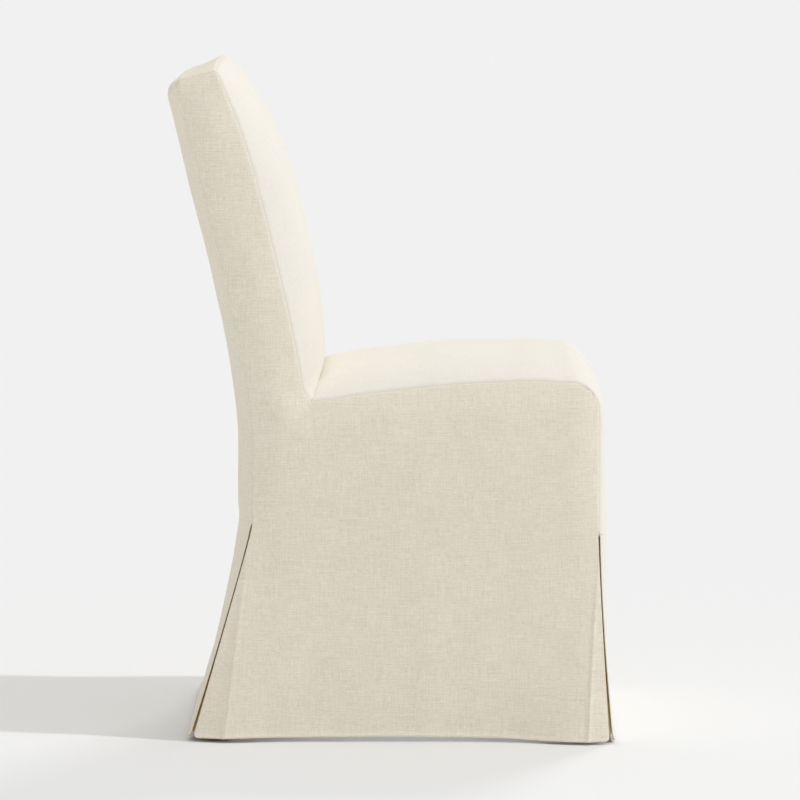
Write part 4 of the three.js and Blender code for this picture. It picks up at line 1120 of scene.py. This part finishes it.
def soft_body(node, name, voxel, fluff, material, seed):
    """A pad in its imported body's form, with soft edges and drawn in by up to twice its fluff."""
    made = copy_of(node, name)
    remesh = made.modifiers.new("fine", "REMESH")
    remesh.mode, remesh.voxel_size = "VOXEL", voxel
    softer = made.modifiers.new("soft", "SMOOTH")
    softer.factor, softer.iterations = 0.6, 5
    apply_modifiers(made)

    def eased(points, normals):
        waves = swell(points[:, 0] + points[:, 2], points[:, 1], FLUFF_WAVE, seed)
        return normals * (fluff * waves - fluff)[:, None]

    moved(made, eased)
    moved(made, under_cover)
    placed(made, node, material)


seed = 70
for fluff, material, fill, pads in (
    (0.0003, foam, 0.9, (
        ("seat_foam", "seat_cushion_foam", 0.005),
        ("back_foam", "inside_back_foam", 0.005),
        ("top_pad", "crest_top_pad", 0.004),
    )),
    (0.0004, wadding, 0.5, (
        ("front_batting", "front_wadding", 0.004),
        ("outside_back_batting", "outside_back_wadding", 0.005),
        ("side_batting_left", "side_wadding_left", 0.004),
        ("side_batting_right", "side_wadding_right", 0.004),
    )),
):
    for node, name, voxel in pads:
        seed += 1
        soft_body(node, name, voxel, fluff, material, seed)


def thin_sheet(node, name, cuts, wave, material):
    """Thin goods keep their own faces, cut finer and eased by a wave: height, length, seed and axis."""
    height, length, seed, axis = wave
    made = copy_of(node, name)
    fine = made.modifiers.new("finer", "SUBSURF")
    fine.subdivision_type, fine.levels, fine.render_levels = "SIMPLE", cuts, cuts
    apply_modifiers(made)
    moved(made, lambda p, n: np.outer(height * swell(p[:, 0], p[:, 1] + p[:, 2], length, seed), axis))
    placed(made, node, material)
    return made


for node, name, cuts, wave, material, flat, rests_on in (
    ("deck_felt", "spring_deck_felt", 3, (0.0004, 0.060, 81, (0, 0, 1)), needle_felt,
     (0.480, 0.470), ["front_rail", "rear_rail", "seat_spring_2", "seat_spring_3"]),
    ("dust_cover", "dust_cover_cloth", 5, (0.0005, 0.110, 82, (0, 0, 1)), dust_cloth,
     (0.470, 0.460), ["front_rail", "rear_rail", "side_rail_left", "side_rail_right"]),
):
    made = thin_sheet(node, name, cuts, wave, material)
for i in (1, 2, 3):
    thin_sheet(f"back_strap_{i}", f"back_webbing_{i}", 4, (0.0002, 0.020, 82 + i, (0, 1, 0)), tape)


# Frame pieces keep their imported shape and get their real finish

FINISH = (
    (beech_up, ("front_leg", "rear_post")),
    (beech_along, ("front_corner_block", "rear_corner_block", "side_rail")),
    (beech_across, ("front_rail", "rear_rail", "lower_back_rail", "crest_rail")),
    (spring_wire, ("seat_spring",)),
    (zinc, ("front_spring", "rear_spring", "front_block", "rear_block")),
    (nylon, ("front_glide", "rear_glide")),
)
for name, shown in nodes.items():
    for material, starts in FINISH:
        if name.startswith(starts) and not shown.hide_render:
            shown.data.materials.clear()
            shown.data.materials.append(material)


# Stage: a pale floor that keeps the shadows, in front of a plain backdrop of one colour

BACKDROP = "#f1f1f1"
FLOOR = "#f1f1f0"
FLOOR_EXTENT = 30.0
AMBIENT = 0.66

corners = np.array([(x, y, 0.0) for x, y in ((-1, -1), (1, -1), (1, 1), (-1, 1))]) * FLOOR_EXTENT
floor = piece_of("studio_floor", corners, [(0, 1, 2, 3)])
# Matt painted floor, with no gloss of its own
painted, tree = new_material("studio_floor_painted")
shader = add(
    tree, "BsdfPrincipled", {"Base Color": linear(FLOOR), "Roughness": 1.0, "Specular IOR Level": 0.0},
)
add(tree, "OutputMaterial", {"Surface": shader.outputs["BSDF"]})
floor.data.materials.append(painted)

world = bpy.data.worlds.new("studio_light")
bpy.context.scene.world = world
world.use_nodes = True
tree = world.node_tree
tree.nodes.clear()
rays = add(tree, "LightPath")
seen = rays.outputs["Is Camera Ray"]
for ray in ("Is Glossy Ray", "Is Transmission Ray"):
    seen = add(tree, "Math", {0: seen, 1: rays.outputs[ray]}, operation="MAXIMUM").outputs[0]
soft = add(tree, "Background", {"Color": (1.0, 1.0, 1.0, 1), "Strength": AMBIENT})
plain = add(tree, "Background", {"Color": linear(BACKDROP), "Strength": 1.0})
both = add(tree, "MixShader", {0: seen, 1: soft.outputs[0], 2: plain.outputs[0]})
add(tree, "OutputWorld", {"Surface": both.outputs[0]})


def lamp(name, kind, along, colour):
    """A lamp that shines along a direction, and its light."""
    light = bpy.data.lights.new(name, kind)
    light.color = colour
    made = in_scene(name, light)
    made.rotation_mode = "QUATERNION"
    made.rotation_quaternion = along.to_track_quat("-Z", "Y")
    return made, light


def sun(name, heading, height, strength, width, colour=(1.0, 1.0, 1.0)):
    """A far lamp: heading is the way its light travels over the floor, height its angle above it."""
    rise = math.radians(height)
    level = Vector((*heading, 0)).normalized() * math.cos(rise)
    _, light = lamp(name, "SUN", level - Vector((0, 0, math.sin(rise))), colour)
    light.energy, light.angle = strength, math.radians(width)


def soft_box(name, place, towards, size, strength, spread=180, colour=(1.0, 1.0, 1.0)):
    """A square lamp that the camera doesn't see."""
    made, light = lamp(name, "AREA", Vector(towards) - Vector(place), colour)
    made.location = place
    made.visible_camera = False
    light.shape, light.size, light.energy, light.spread = "SQUARE", size, strength, math.radians(spread)


sun("key_lamp", heading=(0.24, 0.97), height=50, strength=0.895, width=2.5, colour=(0.99, 1.0, 1.03))
sun("back_lamp", heading=(-0.93, 0.36), height=43, strength=0.555, width=14)
# A wide soft lamp beside the camera fills the near side, a little more towards the front
soft_box("fill_lamp", place=(-1.7, -1.5, 1.1), towards=(-0.25, -0.05, 0.45), size=1.2, strength=1.75)
# Light that comes through the skirt's thin cloth, as a weak lamp under the seat: the floor under the
# hem and the inside of the pleats are pale in the photograph
soft_box(
    "skirt_lamp", place=(0.0, -0.03, 0.25), towards=(0.0, -0.03, 0.0), size=0.46, strength=0.40,
    spread=110, colour=(0.95, 1.0, 1.06),
)

# Camera at the photograph's view

lens = bpy.data.cameras.new("photo_view")
lens.sensor_width = 36.0
lens.lens = 225.585
lens.clip_end = 100.0
camera = in_scene("photo_view", lens)
camera.location = (-7.40, -0.01099, 1.2213)
camera.rotation_euler = (math.radians(84.207), 0.0, math.radians(-90.0))
bpy.context.scene.camera = camera
bpy.context.scene.view_settings.view_transform = "Standard"
